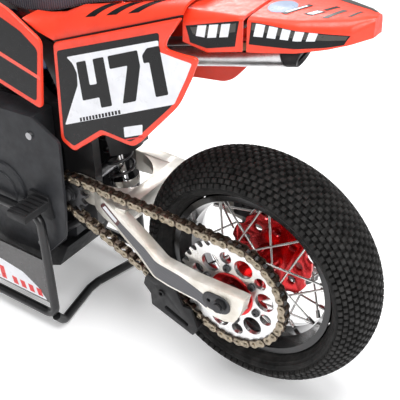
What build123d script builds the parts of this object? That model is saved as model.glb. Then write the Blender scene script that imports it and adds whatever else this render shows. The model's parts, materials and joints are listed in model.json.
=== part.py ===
from build123d import *
import os
from math import sin, cos, tan, asin, atan2, radians, degrees, hypot, pi

# A quarter-scale motocross motorcycle on its wire stand. Millimetres.
# Shapes are laid out from the rear axle, +X forward, +Y to the rider's left, +Z up,
# and are moved at the end so that the origin is the middle of the base on the floor.

# overall layout
rearAxleX = -182.15          # rear axle from the middle of the bike
rearAxleZ = 89.0             # rear axle above the floor, on the stand
wheelbase = 360.0
frontAxleRise = 6.0          # front axle above the rear one
rearTyreR = 82.7
rearTyreHalf = 26.0
frontTyreR = 87.0
frontTyreHalf = 14.0
rearRimR = 58.1
rearRimHalf = 14.7
frontRimR = 67.0
frontRimHalf = 8.0
fit = 0.05                   # radial running clearance of a shaft in its hole

# chain drive
pitch = 6.35
rearTeeth = 36
frontTeeth = 12
chainPitches = 66
chainY = 33.0
gearDistance = 131.100
gearAngle = 11.6             # slope of the line from the rear axle to the front sprocket
sprocketThick = 2.8
rollerR = 1.65

# swingarm
armOuterY = 46.6
armInnerY = 38.8
axleR = 3.0

# shock absorber
shockTop = (128.0, 112.0)    # x and z of the upper eye
shockFoot = (105.0, 4.0)     # x and z of the lower eye
shockBodyR = 7.0
shockRodR = 2.5

# steering
rake = 27.0
forkOffset = 5.5
forkHalfGap = 27.0
upperTubeR = 6.4
lowerTubeR = 5.0
barHalf = 95.0

# stand
standHalf = 50.0
standTubeR = 3.2
pegY = (42.3, 66.0)

rearPitchR = pitch / 2 / sin(pi / rearTeeth)
frontPitchR = pitch / 2 / sin(pi / frontTeeth)
frontGear = (gearDistance * cos(radians(gearAngle)), gearDistance * sin(radians(gearAngle)))
pivotX, pivotZ = frontGear   # the swingarm turns about the front sprocket's own centre
floorZ = -rearAxleZ


def save(node, *shapes):
    os.makedirs("parts", exist_ok=True)
    solids = []
    for shape in shapes:
        for solid in shape.solids():
            solids.append(Pos(rearAxleX, 0, rearAxleZ) * solid)
    body = solids[0] if len(solids) == 1 else Compound(children=solids)
    body.label = node
    export_step(body, "parts/" + node + ".step")


# ---- small shape helpers ----

def cornerRadii(points, bend, closed):
    """The wanted corner radius, or less where the runs beside a corner leave less room."""
    spots = [Vector(*p) for p in points]
    count = len(spots)
    corners = range(count) if closed else range(1, count - 1)
    radii = []
    for k in corners:
        into = spots[k] - spots[k - 1]
        away = spots[(k + 1) % count] - spots[k]
        half = radians(into.get_angle(away)) / 2
        room = 0.45 * min(into.length, away.length) / max(tan(half), 0.001)
        radii.append(min(bend, room))
    return radii


def outline(points, bend=0):
    if bend:
        radii = cornerRadii(points, bend, True)
        return make_face(FilletPolyline(*points, radius=radii, close=True))
    return make_face(Polyline(*points, close=True))


def slab(face, y0, y1):
    """A flat outline drawn in x and z, given thickness from y0 to y1."""
    upright = Plane(origin=(0, y0, 0), x_dir=(1, 0, 0), z_dir=(0, -1, 0)) * face
    return extrude(upright, amount=y1 - y0, dir=(0, 1, 0))


def level(face, z0, z1):
    """A flat outline drawn in x and y, given height from z0 to z1."""
    return extrude(Pos(0, 0, z0) * face, amount=z1 - z0, dir=(0, 0, 1))


def across(x, z, r, y0, y1):
    """A round bar along Y."""
    return Pos(x, (y0 + y1) / 2, z) * Rot(90, 0, 0) * Cylinder(r, y1 - y0)


def bar(a, b, r):
    """A round bar from point a to point b."""
    run = Vector(*b) - Vector(*a)
    return Plane(origin=a, z_dir=run) * Cylinder(r, run.length, align=(Align.CENTER, Align.CENTER, Align.MIN))


def pipe(points, r, bend):
    path = FilletPolyline(*points, radius=cornerRadii(points, bend, False))
    start = Plane(origin=path @ 0, z_dir=path % 0)
    return sweep(start * Circle(r), path=path)


def block(x0, x1, y0, y1, z0, z1, bend=0):
    shape = Pos((x0 + x1) / 2, (y0 + y1) / 2, (z0 + z1) / 2) * Box(x1 - x0, y1 - y0, z1 - z0)
    return fillet(shape.edges(), bend) if bend else shape


def lathe(points):
    """A ring or disc about the Y axis, from points of radius and y."""
    return revolve(outline(points), axis=Axis.Y)


def mirrored(shape):
    return mirror(shape, about=Plane.XZ)


def hexBar(x, z, flats, y0, y1):
    face = Pos(x, z) * RegularPolygon(flats / 2, 6, major_radius=False)
    return slab(face, y0, y1)


# ---- wheels ----

def tyre(outer, half, rimR, rimHalf, seat):
    """Hollow carcass: an elliptical crown over flared side walls that end in two beads."""
    mid = outer - 22.7 * (outer / rearTyreR) if half > 20 else outer - 15.0
    rise = outer - mid
    skin = 4.0 if half > 20 else 3.2
    crown = EllipticalCenterArc((mid, 0), rise, half, -72, arc_size=144)
    topCorner = crown @ 1
    lip = rimHalf - 1.6
    wallUp = Polyline(topCorner, (rimR + 1.6, lip + 2.2), (rimR + 0.6, lip - 0.05), (seat + 0.1, lip - 0.05),
                      (seat + 0.1, lip - 2.6))
    inner = EllipticalCenterArc((mid, 0), rise - skin, half - skin, -66, arc_size=132)
    innerTop = inner @ 1
    wallIn = Polyline((seat + 0.1, lip - 2.6), (seat + 2.4, lip - 2.9), innerTop)
    upper = wallUp + wallIn
    lower = mirror(upper, about=Plane.XZ)
    face = make_face(crown + inner + upper + lower)
    return revolve(face, axis=Axis.Y)


def rim(rimR, half, seat, well):
    lip = half - 1.4
    side = [(rimR, half), (rimR, lip), (seat, lip), (seat, half * 0.55), (well, half * 0.34)]
    under = [(well - 2.3, half * 0.38), (seat - 1.5, half)]
    top = side + [(r, -y) for r, y in reversed(side)]
    bottom = [(r, -y) for r, y in under[::-1]] + under
    return lathe(top + bottom)


def spokeSet(count, hubR, hubY, rimEnd, rimY, turn, start, r):
    """Crossed wire spokes with a nipple at the rim; heads-in and heads-out spokes lie in two layers."""
    wires = []
    nipple = 5.0
    for k in range(count):
        layer = (1 if k % 2 else -1) * (r + 0.12)
        lead = turn if k % 2 else -turn
        foot = radians(start + 360 * k / count - lead / 2)
        top = radians(start + 360 * k / count + lead / 2)
        a = Vector(hubR * cos(foot), hubY + layer, hubR * sin(foot))
        b = Vector(rimEnd * cos(top), rimY + layer, rimEnd * sin(top))
        step = (b - a).normalized()
        join = b - step * nipple
        wires.append(bar(tuple(a), tuple(join), r))
        wires.append(bar(tuple(join), tuple(b), r + 0.65))
    return wires


def gear(teeth, pitchR, tipR, phase, seat=1.78):
    """Flat chain sprocket outline with round roller seats that open outwards."""
    face = Circle(tipR)
    for k in range(teeth):
        angle = phase + 360 * k / teeth
        mouth = Polygon((pitchR, -seat), (pitchR + 4, -3.05), (pitchR + 4, 3.05), (pitchR, seat), align=None)
        face -= Rot(0, 0, angle) * (Pos(pitchR, 0) * Circle(seat) + mouth)
    return face


def ring(count, radius, start, r):
    """Circles of one size, evenly spaced on a circle."""
    holes = []
    for k in range(count):
        angle = radians(start + 360 * k / count)
        holes.append(Pos(radius * cos(angle), radius * sin(angle)) * Circle(r))
    return holes


def wavyDisc(outer, inner, waves, depth, holes):
    """Brake disc: round blank with a scalloped edge, drilled through."""
    face = Circle(outer)
    for hole in ring(waves, outer + depth * 2.2, 0, depth * 3.2):
        face -= hole
    face -= Circle(inner)
    for radius, start in holes:
        for hole in ring(waves * 2, radius, start, 1.0):
            face -= hole
    return face


holeStart = degrees(0.87)
boltStart = holeStart + 30


def rearWheel():
    save("rear_tyre", tyre(rearTyreR, rearTyreHalf, rearRimR, rearRimHalf, 55.6))
    save("rear_rim", rim(rearRimR, rearRimHalf, 55.6, 52.8))
    near = spokeSet(18, 18.3, 14.1, 49.3, 1.6, 58, 4, 0.7)
    far = spokeSet(18, 30.9, -13.0, 49.3, -1.6, 30, 14, 0.7)
    save("rear_spokes", *near, *far)
    save("rear_hub", rearHub())
    save("rear_sprocket", rearSprocket())
    save("rear_sprocket_bolts", *sprocketBolts())
    disc = wavyDisc(33, 15.2, 12, 1.3, [(29.5, 0), (26.5, 7.5)])
    for window in ring(6, 20.6, 15, 3.4):
        disc -= window
    save("rear_disc", slab(disc, -29.2, -28.0))


def rearHub():
    core = lathe([(axleR + fit, -24.4), (9.5, -24.4), (9.5, 30), (axleR + fit, 30)])
    nearFlange = slab(Circle(17.4), 13.0, 15.2)
    farFace = Circle(30)
    for scallop in ring(9, 33.5, 0, 6.2):
        farFace -= scallop
    for window in ring(9, 20.5, 20, 3.2):
        farFace -= window
    farFlange = slab(farFace, -14.2, -11.8)
    spider = Circle(13)
    for arm in ring(6, 19.07, boltStart, 4.3):
        spider += arm
    for k in range(6):
        spider += Rot(0, 0, boltStart + 60 * k) * Pos(9.5, 0) * Rectangle(19, 6)
    carrier = slab(spider, 27.6, 31.5)
    boss = lathe([(13.4, 29.8), (15.4, 29.8), (15.4, 34.9), (13.4, 34.9)])
    discSeat = slab(Circle(14.9), -30.0, -24.4) - slab(Circle(10), -31, -24.4)
    seatWeb = slab(Circle(14.9), -25.6, -24.4)
    hub = core + nearFlange + farFlange + carrier + boss + discSeat + seatWeb
    for stud in ring(6, 19.07, boltStart, 1.3):
        hub -= slab(stud, 27, 32)
    return hub - across(0, 0, axleR + fit, -40, 40)


def rearSprocket():
    seat = rearSeatAngle()
    face = gear(rearTeeth, rearPitchR, rearPitchR + 2.0, seat)
    for hole in ring(6, 24.0, holeStart, 6.5) + ring(6, 26.4, boltStart, 4.15) + ring(6, 19.07, boltStart, 1.35):
        face -= hole
    face -= Circle(15.45)
    return slab(face, chainY - sprocketThick / 2, chainY + sprocketThick / 2)


def sprocketBolts():
    bolts = []
    for k in range(6):
        angle = radians(boltStart + 60 * k)
        x = 19.07 * cos(angle)
        z = 19.07 * sin(angle)
        face = chainY + sprocketThick / 2
        head = fillet(across(x, z, 2.7, face, face + 1.7).edges().sort_by(Axis.Y)[-1], 0.9)
        socket = hexBar(x, z, 1.8, face + 0.7, face + 2)
        bolts.append(head + across(x, z, 1.25, 27.4, face) - socket)
    return bolts


# ---- chain ----

def runAngles():
    """Directions of the upper and lower straight runs, in degrees."""
    spread = degrees(asin((rearPitchR - frontPitchR) / gearDistance))
    return gearAngle - spread, gearAngle + spread


def rearSeatAngle():
    """Angle of a roller seat on the rear sprocket: one lies where the upper run leaves it."""
    return runAngles()[0] + 90


def chainPins():
    """Pin centres round the loop, one pitch apart, starting where the upper run leaves the rear sprocket."""
    up, down = runAngles()
    spread = gearAngle - up
    run = gearDistance * cos(radians(spread)) / pitch
    frontWrap = (180 - 2 * spread) / 360 * frontTeeth
    rearWrap = (180 + 2 * spread) / 360 * rearTeeth
    step = (2 * run + frontWrap + rearWrap) / chainPitches
    pins = []
    for k in range(chainPitches):
        s = k * step
        if s < run:
            start, angle, centre, radius, left = up, up + 90, (0, 0), rearPitchR, s * pitch
        elif s < run + frontWrap:
            angle = up + 90 - (s - run) * 360 / frontTeeth
            start, centre, radius, left = up, frontGear, frontPitchR, 0
        elif s < 2 * run + frontWrap:
            start, angle, centre, radius = down + 180, down - 90, frontGear, frontPitchR
            left = (s - run - frontWrap) * pitch
        else:
            angle = down - 90 - (s - 2 * run - frontWrap) * 360 / rearTeeth
            start, centre, radius, left = down, (0, 0), rearPitchR, 0
        x = centre[0] + radius * cos(radians(angle)) + left * cos(radians(start))
        z = centre[1] + radius * sin(radians(angle)) + left * sin(radians(start))
        pins.append((x, z))
    return pins


def linkPlate(width, y0, y1):
    """Waisted side plate of one link, pins at x = 0 and x = pitch."""
    face = Circle(width / 2) + Pos(pitch, 0) * Circle(width / 2)
    face += Pos(pitch / 2, 0) * Rectangle(pitch, width * 0.72)
    return slab(face, y0, y1)


def outerLink():
    link = across(0, 0, 1.0, -4.0, 4.0) + across(pitch, 0, 1.0, -4.0, 4.0)
    return link + linkPlate(5.4, 2.5, 3.2) + linkPlate(5.4, -3.2, -2.5)


def innerLink():
    link = linkPlate(5.8, 1.62, 2.36) + linkPlate(5.8, -2.36, -1.62)
    for x in (0, pitch):
        link += across(x, 0, rollerR, -1.62, 1.62)
        link -= across(x, 0, 1.08, -3, 3)
    return link


def chain():
    pins = chainPins()
    kinds = (innerLink(), outerLink())
    links = []
    for k in range(chainPitches):
        x, z = pins[k]
        x2, z2 = pins[(k + 1) % chainPitches]
        turn = degrees(atan2(z2 - z, x2 - x))
        links.append(Pos(x, chainY, z) * Rot(0, -turn, 0) * kinds[k % 2])
    return links


def frontSprocket():
    """Small sprocket on its output shaft, its teeth set by the pin that lies furthest forward."""
    x, z = frontGear
    tip = max(chainPins())
    seat = degrees(atan2(tip[1] - z, tip[0] - x))
    face = gear(frontTeeth, frontPitchR, frontPitchR + 1.7, seat, 2.35)
    wheel = Pos(x, 0, z) * slab(face, chainY - sprocketThick / 2, chainY + sprocketThick / 2)
    shaft = across(x, z, 4.0, 29.2, 38.4)
    collar = across(x, z, 5.6, chainY + sprocketThick / 2, chainY + 3.0)
    return wheel + shaft + collar


# ---- swingarm ----

armSide = [(-17, 11), (-14.4, -1), (-10, -9.5), (-3, -12), (6, -11.6), (17, -5.6), (40, -4), (52, -1.5), (66, 7),
           (88, 16), (110, 18.2), (128, 18), (128, 35), (110, 34.4), (96, 31.6), (85, 29), (61, 21.8),
           (43, 12.6), (20, 10.6)]
armPlan = [(-18, armInnerY), (-18, armOuterY), (50, armOuterY), (66, 43), (86, 38), (100, 34.5), (109, 31),
           (113, 28.2), (138, 28.2), (138, 22.2), (112, 22.2), (96, 26), (80, 31.5), (60, 36.5), (45, armInnerY)]


def arm():
    """Left arm: the side outline and the plan outline cut from one block, with an axle window."""
    side = slab(outline(armSide), 15, 50) + across(pivotX, pivotZ, 8.5, 22.2, 28.2)
    shape = side & level(outline(armPlan), -20, 50)
    shape -= slab(Pos(3, 0) * SlotOverall(20.4, 13.4), 30, 50)
    return shape


def bridge():
    """Plate that joins the arms between the tyre and the shock, with two lugs for the shock's lower eye."""
    side = slab(outline([(86.5, 14.5), (95, 14.5), (91.5, 31), (81, 31)]), -36, 36)
    plan = level(outline([(75, -34), (88, -36), (99, -29), (99, 29), (88, 36), (75, 34)]), 0, 40)
    lugSide = [(88, 15), (95, 15), (97, 10), (111, 10), (111, -2), (100, -2), (90, 8)]
    lug = slab(outline(lugSide, 1.5), 6.6, 11)
    top = slab(outline([(84, 22), (84, 28.4), (96, 31.2), (112, 34), (112, 27), (96, 24.5)]), -29, 29)
    opening = level(Pos(113, 0) * Ellipse(22, 22.3), 10, 50)
    return (side & plan) + (top - opening) + lug + mirrored(lug)


def swingarmParts():
    frameArm = arm() + mirrored(arm()) + bridge()
    frameArm -= across(pivotX, pivotZ, axleR + 1 + fit, -40, 40) + across(*shockFoot, 2.0, -20, 20)
    save("swingarm", frameArm, across(*shockFoot, 1.99, -13, 13))
    window = slab(Pos(3, 0) * SlotOverall(20.2, 13.2), armInnerY + 0.2, armOuterY + 0.5)
    window -= across(0, 0, axleR + fit, 30, 60) + across(8.6, 0, 1.3, 30, 60)
    save("axle_blocks", window, mirrored(window))
    nut = hexBar(0, 0, 8, armOuterY + 0.5, armOuterY + 3.2)
    nut = nut + mirrored(nut)
    collars = across(0, 0, 5.2, 31.6, armInnerY + 0.2) + across(0, 0, 5.2, -armInnerY - 0.2, -25.7)
    save("rear_axle", across(0, 0, axleR, -armOuterY - 4.6, armOuterY + 4.6) + nut + collars)
    save("chain", *chain())
    save("chain_guide", chainGuide())
    save("rear_caliper", caliper(27, 21, -28.6, 10, 9, (0, 0), 33) + block(20, 34, -armInnerY, -34.8, 9, 24))


def chainGuide():
    """Channel under the lower chain run: an outer plate with a hook and a slot, an inner plate and a floor."""
    plate = [(58.7, -4), (63.6, -12.5), (65, -18), (59.5, -24), (59, -33), (26, -44), (22.4, -36), (28, -22.5),
             (34, -23), (40, -11), (48.2, -7.5)]
    outer = slab(outline(plate, 0.9), 38.0, 39.8) - slab(outline(armSide), 37, 45)
    outer -= slab(Pos(39, -33.5) * Rot(0, 0, 22) * SlotOverall(20, 3.6), 37, 41)
    outer -= across(50.6, -19.7, 1.4, 30, 50)
    boss = across(50.6, -19.7, 2.6, 39.8, 40.8) - across(50.6, -19.7, 1.4, 30, 50)
    ear = slab(outline([(57.5, -5), (61, -9), (52, -11), (46, -6.5)]), armInnerY - 0.8, armOuterY - 3)
    ear -= slab(outline(armSide), 35, 50)
    inner = slab(outline([(57, -29), (60, -33), (26, -44), (24, -39)]), 26.6, 28.3)
    floor = slab(outline([(59.2, -26.5), (59, -33), (26, -44), (22.6, -36.5), (24.5, -35.5)]), 28.3, 38.0)
    floor -= slab(outline(lowerRunBand(3.3)), 28, 38.1)
    return outer + boss + ear + inner + floor


def lowerRunBand(half):
    """Strip that the lower chain run sweeps, half wide each side of the pins."""
    down = radians(runAngles()[1])
    foot = (rearPitchR * sin(down), -rearPitchR * cos(down))
    far = (foot[0] + 110 * cos(down), foot[1] + 110 * sin(down))
    near = (foot[0] - 30 * cos(down), foot[1] - 30 * sin(down))
    side = (-half * sin(down), half * cos(down))
    return [(near[0] - side[0], near[1] - side[1]), (far[0] - side[0], far[1] - side[1]),
            (far[0] + side[0], far[1] + side[1]), (near[0] + side[0], near[1] + side[1])]


def caliper(x, z, y, halfX, halfZ, wheel, discR):
    """Two-piston brake caliper, slotted for a disc of radius discR centred on the wheel."""
    body = block(x - halfX, x + halfX, y - 6.2, y + 6.2, z - halfZ, z + halfZ, 2.0)
    body += across(x - 4, z + 2, 3.4, y + 5, y + 8) + across(x + 4, z + 2, 3.4, y + 5, y + 8)
    return body - across(wheel[0], wheel[1], discR + 0.6, y - 1.1, y + 1.1)


# ---- shock absorber ----

def shockLine():
    dx = shockTop[0] - shockFoot[0]
    dz = shockTop[1] - shockFoot[1]
    length = hypot(dx, dz)
    return (dx / length, dz / length), length


def alongShock(s, ahead=0.0):
    """Point s above the lower eye on the shock's own axis, moved ahead of it."""
    way = shockLine()[0]
    return (shockFoot[0] + way[0] * s + way[1] * ahead, 0, shockFoot[1] + way[1] * s - way[0] * ahead)


def shockParts():
    length = shockLine()[1]
    body = bar(alongShock(54), alongShock(length - 13), shockBodyR)
    body += bar(alongShock(length - 18), alongShock(length - 12), 10.6)
    body += bar(alongShock(length - 14), alongShock(length), 4.0)
    body += across(*shockTop, 4.6, -5, 5)
    body += bar(alongShock(length - 46, 17), alongShock(length - 5, 17), 5.0)
    body += bar(alongShock(length - 14), alongShock(length - 14, 17), 2.8)
    body -= bar(alongShock(40), alongShock(length - 20), shockRodR + fit)
    body -= across(*shockTop, 2.05, -10, 10)
    save("shock_body", body)
    rod = bar(alongShock(4), alongShock(80), shockRodR) + bar(alongShock(20), alongShock(25), 10.6)
    eye = across(*shockFoot, 5.6, -5, 5)
    save("shock_shaft", rod + eye - across(*shockFoot, 3.6, -6, 6))
    save("shock_spring", shockSpring(length))


def shockSpring(length):
    low = 25.2
    high = length - 18.2
    turns = 7
    helix = Helix(pitch=(high - low - 2.4) / turns, height=high - low - 2.4, radius=8.9)
    wire = sweep(Plane(origin=helix @ 0, z_dir=helix % 0) * Circle(1.1), path=helix, is_frenet=True)
    way = shockLine()[0]
    seat = Plane(origin=alongShock(low + 1.2), z_dir=(way[0], 0, way[1]))
    return seat * wire


# ---- chassis ----

def steerPoint(s, forward=0.0, y=0.0):
    """Point on the steering axis, s above the front axle, moved forward across the axis."""
    a = radians(rake)
    x = wheelbase - forkOffset * cos(a) - s * sin(a) + forward * cos(a)
    z = frontAxleRise - forkOffset * sin(a) + s * cos(a) + forward * sin(a)
    return (x, y, z)


sparSide = [(254, 184), (279, 172), (276, 150), (262, 140), (236, 128), (190, 92), (160, 72), (143, 50), (141, -6),
            (130, -12), (118, -6), (116.5, 40), (117.5, 68), (120, 100), (121, 119), (136, 124), (220, 145)]


def mainFrame():
    plate = slab(outline(sparSide, 3), 14.6, 21.4)
    window = [(152, 112), (168, 118), (214, 138), (228, 136), (196, 110), (150, 82), (138, 84)]
    plate -= slab(outline(window, 3), 10, 30)
    forkSweep = bar(steerPoint(50), steerPoint(240), 38)
    head = bar(steerPoint(160), steerPoint(205), 15.5)
    neck = [(266, 180), (274, 152), (262, 140), (232, 124), (214, 128), (218, 144)]
    web = slab(outline(neck), -13, 13) + (slab(outline(neck), -21.4, 21.4) - forkSweep)
    plate -= forkSweep
    crossBars = across(shockTop[0], 124, 3.4, -14.6, 14.6)
    for x, z in ((150, 118), (134, -4)):
        crossBars += across(x, z, 4, -14.6, 14.6)
    cradle = []
    for side in (-1, 1):
        y = side * 18
        route = [(240, y, 126), (246, y, 60), (238, y, -20), (222, y, -38), (170, y, -38), (134, y, -6)]
        cradle.append(pipe(route, 3.2, 12))
    frame = plate + mirrored(plate) + head + web + crossBars + cradle[0] + cradle[1]
    frame -= bar(steerPoint(150), steerPoint(215), 4 + fit)
    frame -= across(pivotX, pivotZ, axleR + 1, -30, 30)
    eyes = block(shockTop[0] - 5, shockTop[0] + 5, 5.6, 14.6, 104, 128)
    eyes += mirrored(eyes)
    frame += eyes
    return frame - across(*shockTop, 2.0, -30, 30)


def engineCase():
    side = outline([(146, -30), (160, -36), (228, -36), (234, -20), (238, 50), (232, 62), (160, 66), (147, 44)], 4)
    shell = slab(side, -14.2, 14.2)
    shell -= across(205, 4, 14.3, -12, 12) + across(170, 8, 19.3, -12, 12)
    barrel = slab(outline([(176, 58), (224, 58), (231, 88), (184, 88)], 2), -13.5, 13.5)
    for k in range(4):
        fin = outline([(176, 68 + 4.6 * k), (232, 66 + 4.6 * k), (232, 67.6 + 4.6 * k), (176, 69.6 + 4.6 * k)])
        barrel += slab(fin, -14.2, 14.2)
    return shell + barrel


def leftCover():
    side = [(127.5, 68), (128.5, 18), (131, -8), (150, -30), (190, -34), (232, -14), (234, 46), (212, 76), (150, 80)]
    cover = slab(outline(side, 5), 22, 41)
    cover -= block(110, 149, 10, 38.6, -40, 100)
    cover += across(184, 14, 21, 41, 43.2) + across(184, 14, 14, 43.2, 44.4)
    return cover


def rightCover():
    side = [(141, 60), (141, 18), (143, -8), (156, -30), (190, -34), (232, -14), (234, 46), (212, 76), (160, 80)]
    cover = slab(outline(side, 5), -41, -22)
    cover += across(186, 8, 23, -43.2, -41) + across(186, 8, 16, -44.4, -43.2) + across(216, 34, 11, -42.6, -41)
    return cover


def skidPlate():
    side = [(146, -33), (156, -54), (172, -61), (216, -61), (240, -44), (250, -14), (246, -12), (235, -38), (214, -52),
            (174, -53.5), (161, -48), (152, -33)]
    base = slab(outline(side), -25, 25)
    wingSide = [(146, -33), (156, -54), (172, -61), (216, -60), (236, -45), (226, -43), (212, -42), (170, -42.5)]
    wing = slab(outline(wingSide, 2), 22, 25)
    return base + wing + mirrored(wing)


def subframe():
    rails = []
    for side in (-1, 1):
        y = side * 18
        rails.append(pipe([(168, y, 133.2), (120, y, 141), (60, y, 147), (14, y, 160)], 2.6, 20))
        strut = [(121.6, y, 110), (112, side * 14, 117), (98, side * 12, 121), (72, side * 16, 146)]
        rails.append(pipe(strut, 2.0, 8))
    joined = rails[0] + rails[1] + rails[2] + rails[3]
    for x, z in ((112, 142), (20, 158.3)):
        joined += across(x, z, 2.0, -18, 18)
    return joined - slab(outline(sparSide), 14, 22) - slab(outline(sparSide), -22, -14)


def seat():
    """Narrow bench that rises onto the tank at the front and onto the fender at the back."""
    top = [(33, 177.5), (36, 184), (60, 181.5), (84, 177), (120, 171), (165, 164), (205, 168), (228, 178), (236, 184)]
    under = [(236, 176), (214, 158), (176, 139.5), (140, 145.5), (106, 159.5), (70, 169)]
    side = top + under
    return slab(outline(side, 2.4), -21, 21)


def tankCover():
    side = [(222, 158.5), (237, 170), (243.5, 179), (237, 187), (238, 175)]
    return slab(outline(side), -18, 18)


def shroud():
    """Left radiator shroud: a bent plate, wide at the front and drawn in at the knee."""
    side = [(134, 136), (158, 150), (206, 164), (247, 182), (286, 168), (298, 142), (272, 100), (244, 78), (214, 88),
            (180, 98), (140, 88)]
    return slab(outline(side, 4), 37.8, 40.2)


panelTop = [(127, 136), (31, 175), (42, 159.5), (43.5, 154), (33.5, 153.5), (21, 154), (26, 141)]
leftPanelFoot = [(34, 124), (38, 118), (65, 87), (70, 83), (93, 84), (118.5, 63), (129, 68)]
rightPanelFoot = [(33, 123), (35, 116.5), (45, 105), (52, 101), (76, 97.5), (93, 90), (118.5, 63), (129, 68)]
panelY = (34.9, 37.0)


def sidePanel(foot):
    """Number panel with a waisted outline; the right one is cut shorter over the muffler."""
    return slab(outline(panelTop + foot), *panelY)


def upperPanel():
    """Slanted strip between the top of a side panel and the seat, running forwards to the shroud."""
    sections = ((33, [(34, 174.6), (34, 176.4), (22.6, 181.5), (21.6, 180)]),
                (127, [(35.2, 137), (35.2, 138.8), (22.6, 152), (21.6, 150.5)]),
                (152, [(35.6, 145), (35.6, 146.8), (22.6, 145.2), (21.6, 143.4)]))
    ends = []
    for x, section in sections:
        corners = []
        for y, z in section:
            corners.append((x, y, z))
        ends.append(outline(corners))
    return loft(ends[:2], ruled=True) + loft(ends[1:], ruled=True)


def fenderFront():
    side = [(36, 158), (18, 155), (2, 161), (-2, 181), (31, 176)]
    cheek = slab(outline(side), 27.6, 30)
    top = slab(outline([(-2, 181), (31, 176), (31, 173.6), (-1.6, 178.6)]), -30, 30)
    return top + cheek + mirrored(cheek)


def tailCut(depth):
    """Two slanted blocks that crown the tail; depth moves them further into it."""
    slope = Plane(origin=(-5, 26, 181), z_dir=(-104, 366, 404))
    cutter = slope * Pos(0, 0, -depth) * Box(200, 200, 40, align=(Align.CENTER, Align.CENTER, Align.MIN))
    return cutter + mirrored(cutter)


def rearFender():
    """Tail: arched top on two side walls that taper to the rear."""
    side = [(1, 160.5), (-3, 178.8), (-10, 181), (-56, 185.8), (-63.5, 186.3), (-61.5, 175.5), (-55, 173), (-30, 166)]
    inside = [(4, 150), (2, 174), (-6, 178.4), (-52, 183), (-59, 183.6), (-58, 176), (-52, 168), (-30, 150)]
    plan = [(6, -26), (6, 26), (-30, 24), (-55, 14), (-63.5, 4), (-63.5, -4), (-55, -14), (-30, -24)]
    innerPlan = [(6, -23.6), (6, 23.6), (-30, 21.6), (-53, 12), (-60, 4), (-60, -4), (-53, -12), (-30, -21.6)]
    shell = (slab(outline(side), -26, 26) & level(outline(plan), 100, 250)) - tailCut(0)
    hollow = (slab(outline(inside), -26, 26) & level(outline(innerPlan), 100, 250)) - tailCut(2.4)
    return shell - hollow


mufflerY = -26.0
mufflerR = 8.7
mufflerFrontZ = 114.5
mufflerSlope = 0.266


def mufflerParts():
    def spot(x):
        return (x, mufflerY, mufflerFrontZ + (92 - x) * mufflerSlope)

    inlet = spot(104)
    can = bar(spot(92), spot(2.3), mufflerR) + bar(inlet, spot(92), 5.0)
    can -= bar(spot(106), spot(30), 3.4)
    save("muffler_can", can)
    cap = bar(spot(2), spot(-17), mufflerR) - bar(spot(-8), spot(-19), 3.8)
    save("muffler_cap", cap)
    route = [(214, -14.3, 84.6), (214, -28, 86), (190, -28, 88), (150, -28, 94), (122, -27, 106.5), inlet]
    save("header_pipe", pipe(route, 3.3, 7))


def chassisParts():
    save("main_frame", mainFrame())
    save("engine_case", engineCase())
    save("motor", across(205, 4, 13.6, -11, 11))
    save("flywheel", across(170, 8, 18.6, -8, 8) + across(170, 8, 3, -11.5, 11.5))
    save("left_cover", leftCover())
    save("right_cover", rightCover())
    save("skid_plate", skidPlate())
    save("battery", block(160, 212, -12.5, 12.5, 98, 121, 2))
    save("steering_servo", block(236, 250, -10, 10, 68, 101, 1))
    save("subframe", subframe())
    save("seat", seat())
    save("tank_cover", tankCover())
    save("shrouds", shroud(), mirrored(shroud()))
    save("left_side_panel", sidePanel(leftPanelFoot))
    save("right_side_panel", mirrored(sidePanel(rightPanelFoot)))
    save("upper_panels", upperPanel(), mirrored(upperPanel()))
    save("tail_panel", fenderFront())
    save("rear_fender", rearFender())
    mufflerParts()
    save("mud_flap", mudFlap())
    save("footpegs", footpeg(), mirrored(footpeg()))
    save("pivot_bolts", *pivotBolts())


def mudFlap():
    """Curved guard behind the shock, hung by a tongue from the subframe's front cross bar."""
    low = alongShock(48, -3)
    high = alongShock(106, -3)
    shell = bar(low, high, 16.5) - bar(alongShock(46, -3), alongShock(108, -3), 15.0)
    lean = degrees(atan2(shockLine()[0][0], shockLine()[0][1]))
    rearHalf = Pos(*alongShock(77, -8)) * Rot(0, lean, 0) * Pos(-20, 0, 0) * Box(40, 60, 90)
    tongue = slab(outline([(107.4, 100), (108.9, 100), (113, 140), (111.4, 140)]), -7, 7)
    return (shell & rearHalf) + tongue


def footpeg():
    plate = slab(outline([(138, 4), (157, 4), (160, 22), (141, 22)], 2), 41.2, 43.4)
    body = block(141, 157, 43.4, pegY[1], floorZ + 102.8, floorZ + 108)
    for k in range(5):
        tooth = block(142, 156, 46 + 4.2 * k, 47.4 + 4.2 * k, floorZ + 108, floorZ + 109.6)
        body += tooth
    return plate + body


def pivotBolts():
    """Swingarm pivot, upper shock bolt and the bolts that hold the two covers."""
    pivot = across(pivotX, pivotZ, axleR + 1, -29.0, 28.4) + hexBar(pivotX, pivotZ, 10, -31.4, -28.6)
    studs = [pivot, across(*shockTop, 1.98, -21, 21)]
    for x, z in ((152, 66), (214, 60), (222, -14), (154, -22)):
        for side in (-1, 1):
            head = across(x, z, 2.6, 41, 42.8)
            studs.append(head if side > 0 else mirrored(head))
    return studs


# ---- steering, fork and front wheel ----

def forkPoint(s, y=0.0):
    """Point on the fork line through the front axle, s above the axle."""
    return steerPoint(s, forkOffset, y)


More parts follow.
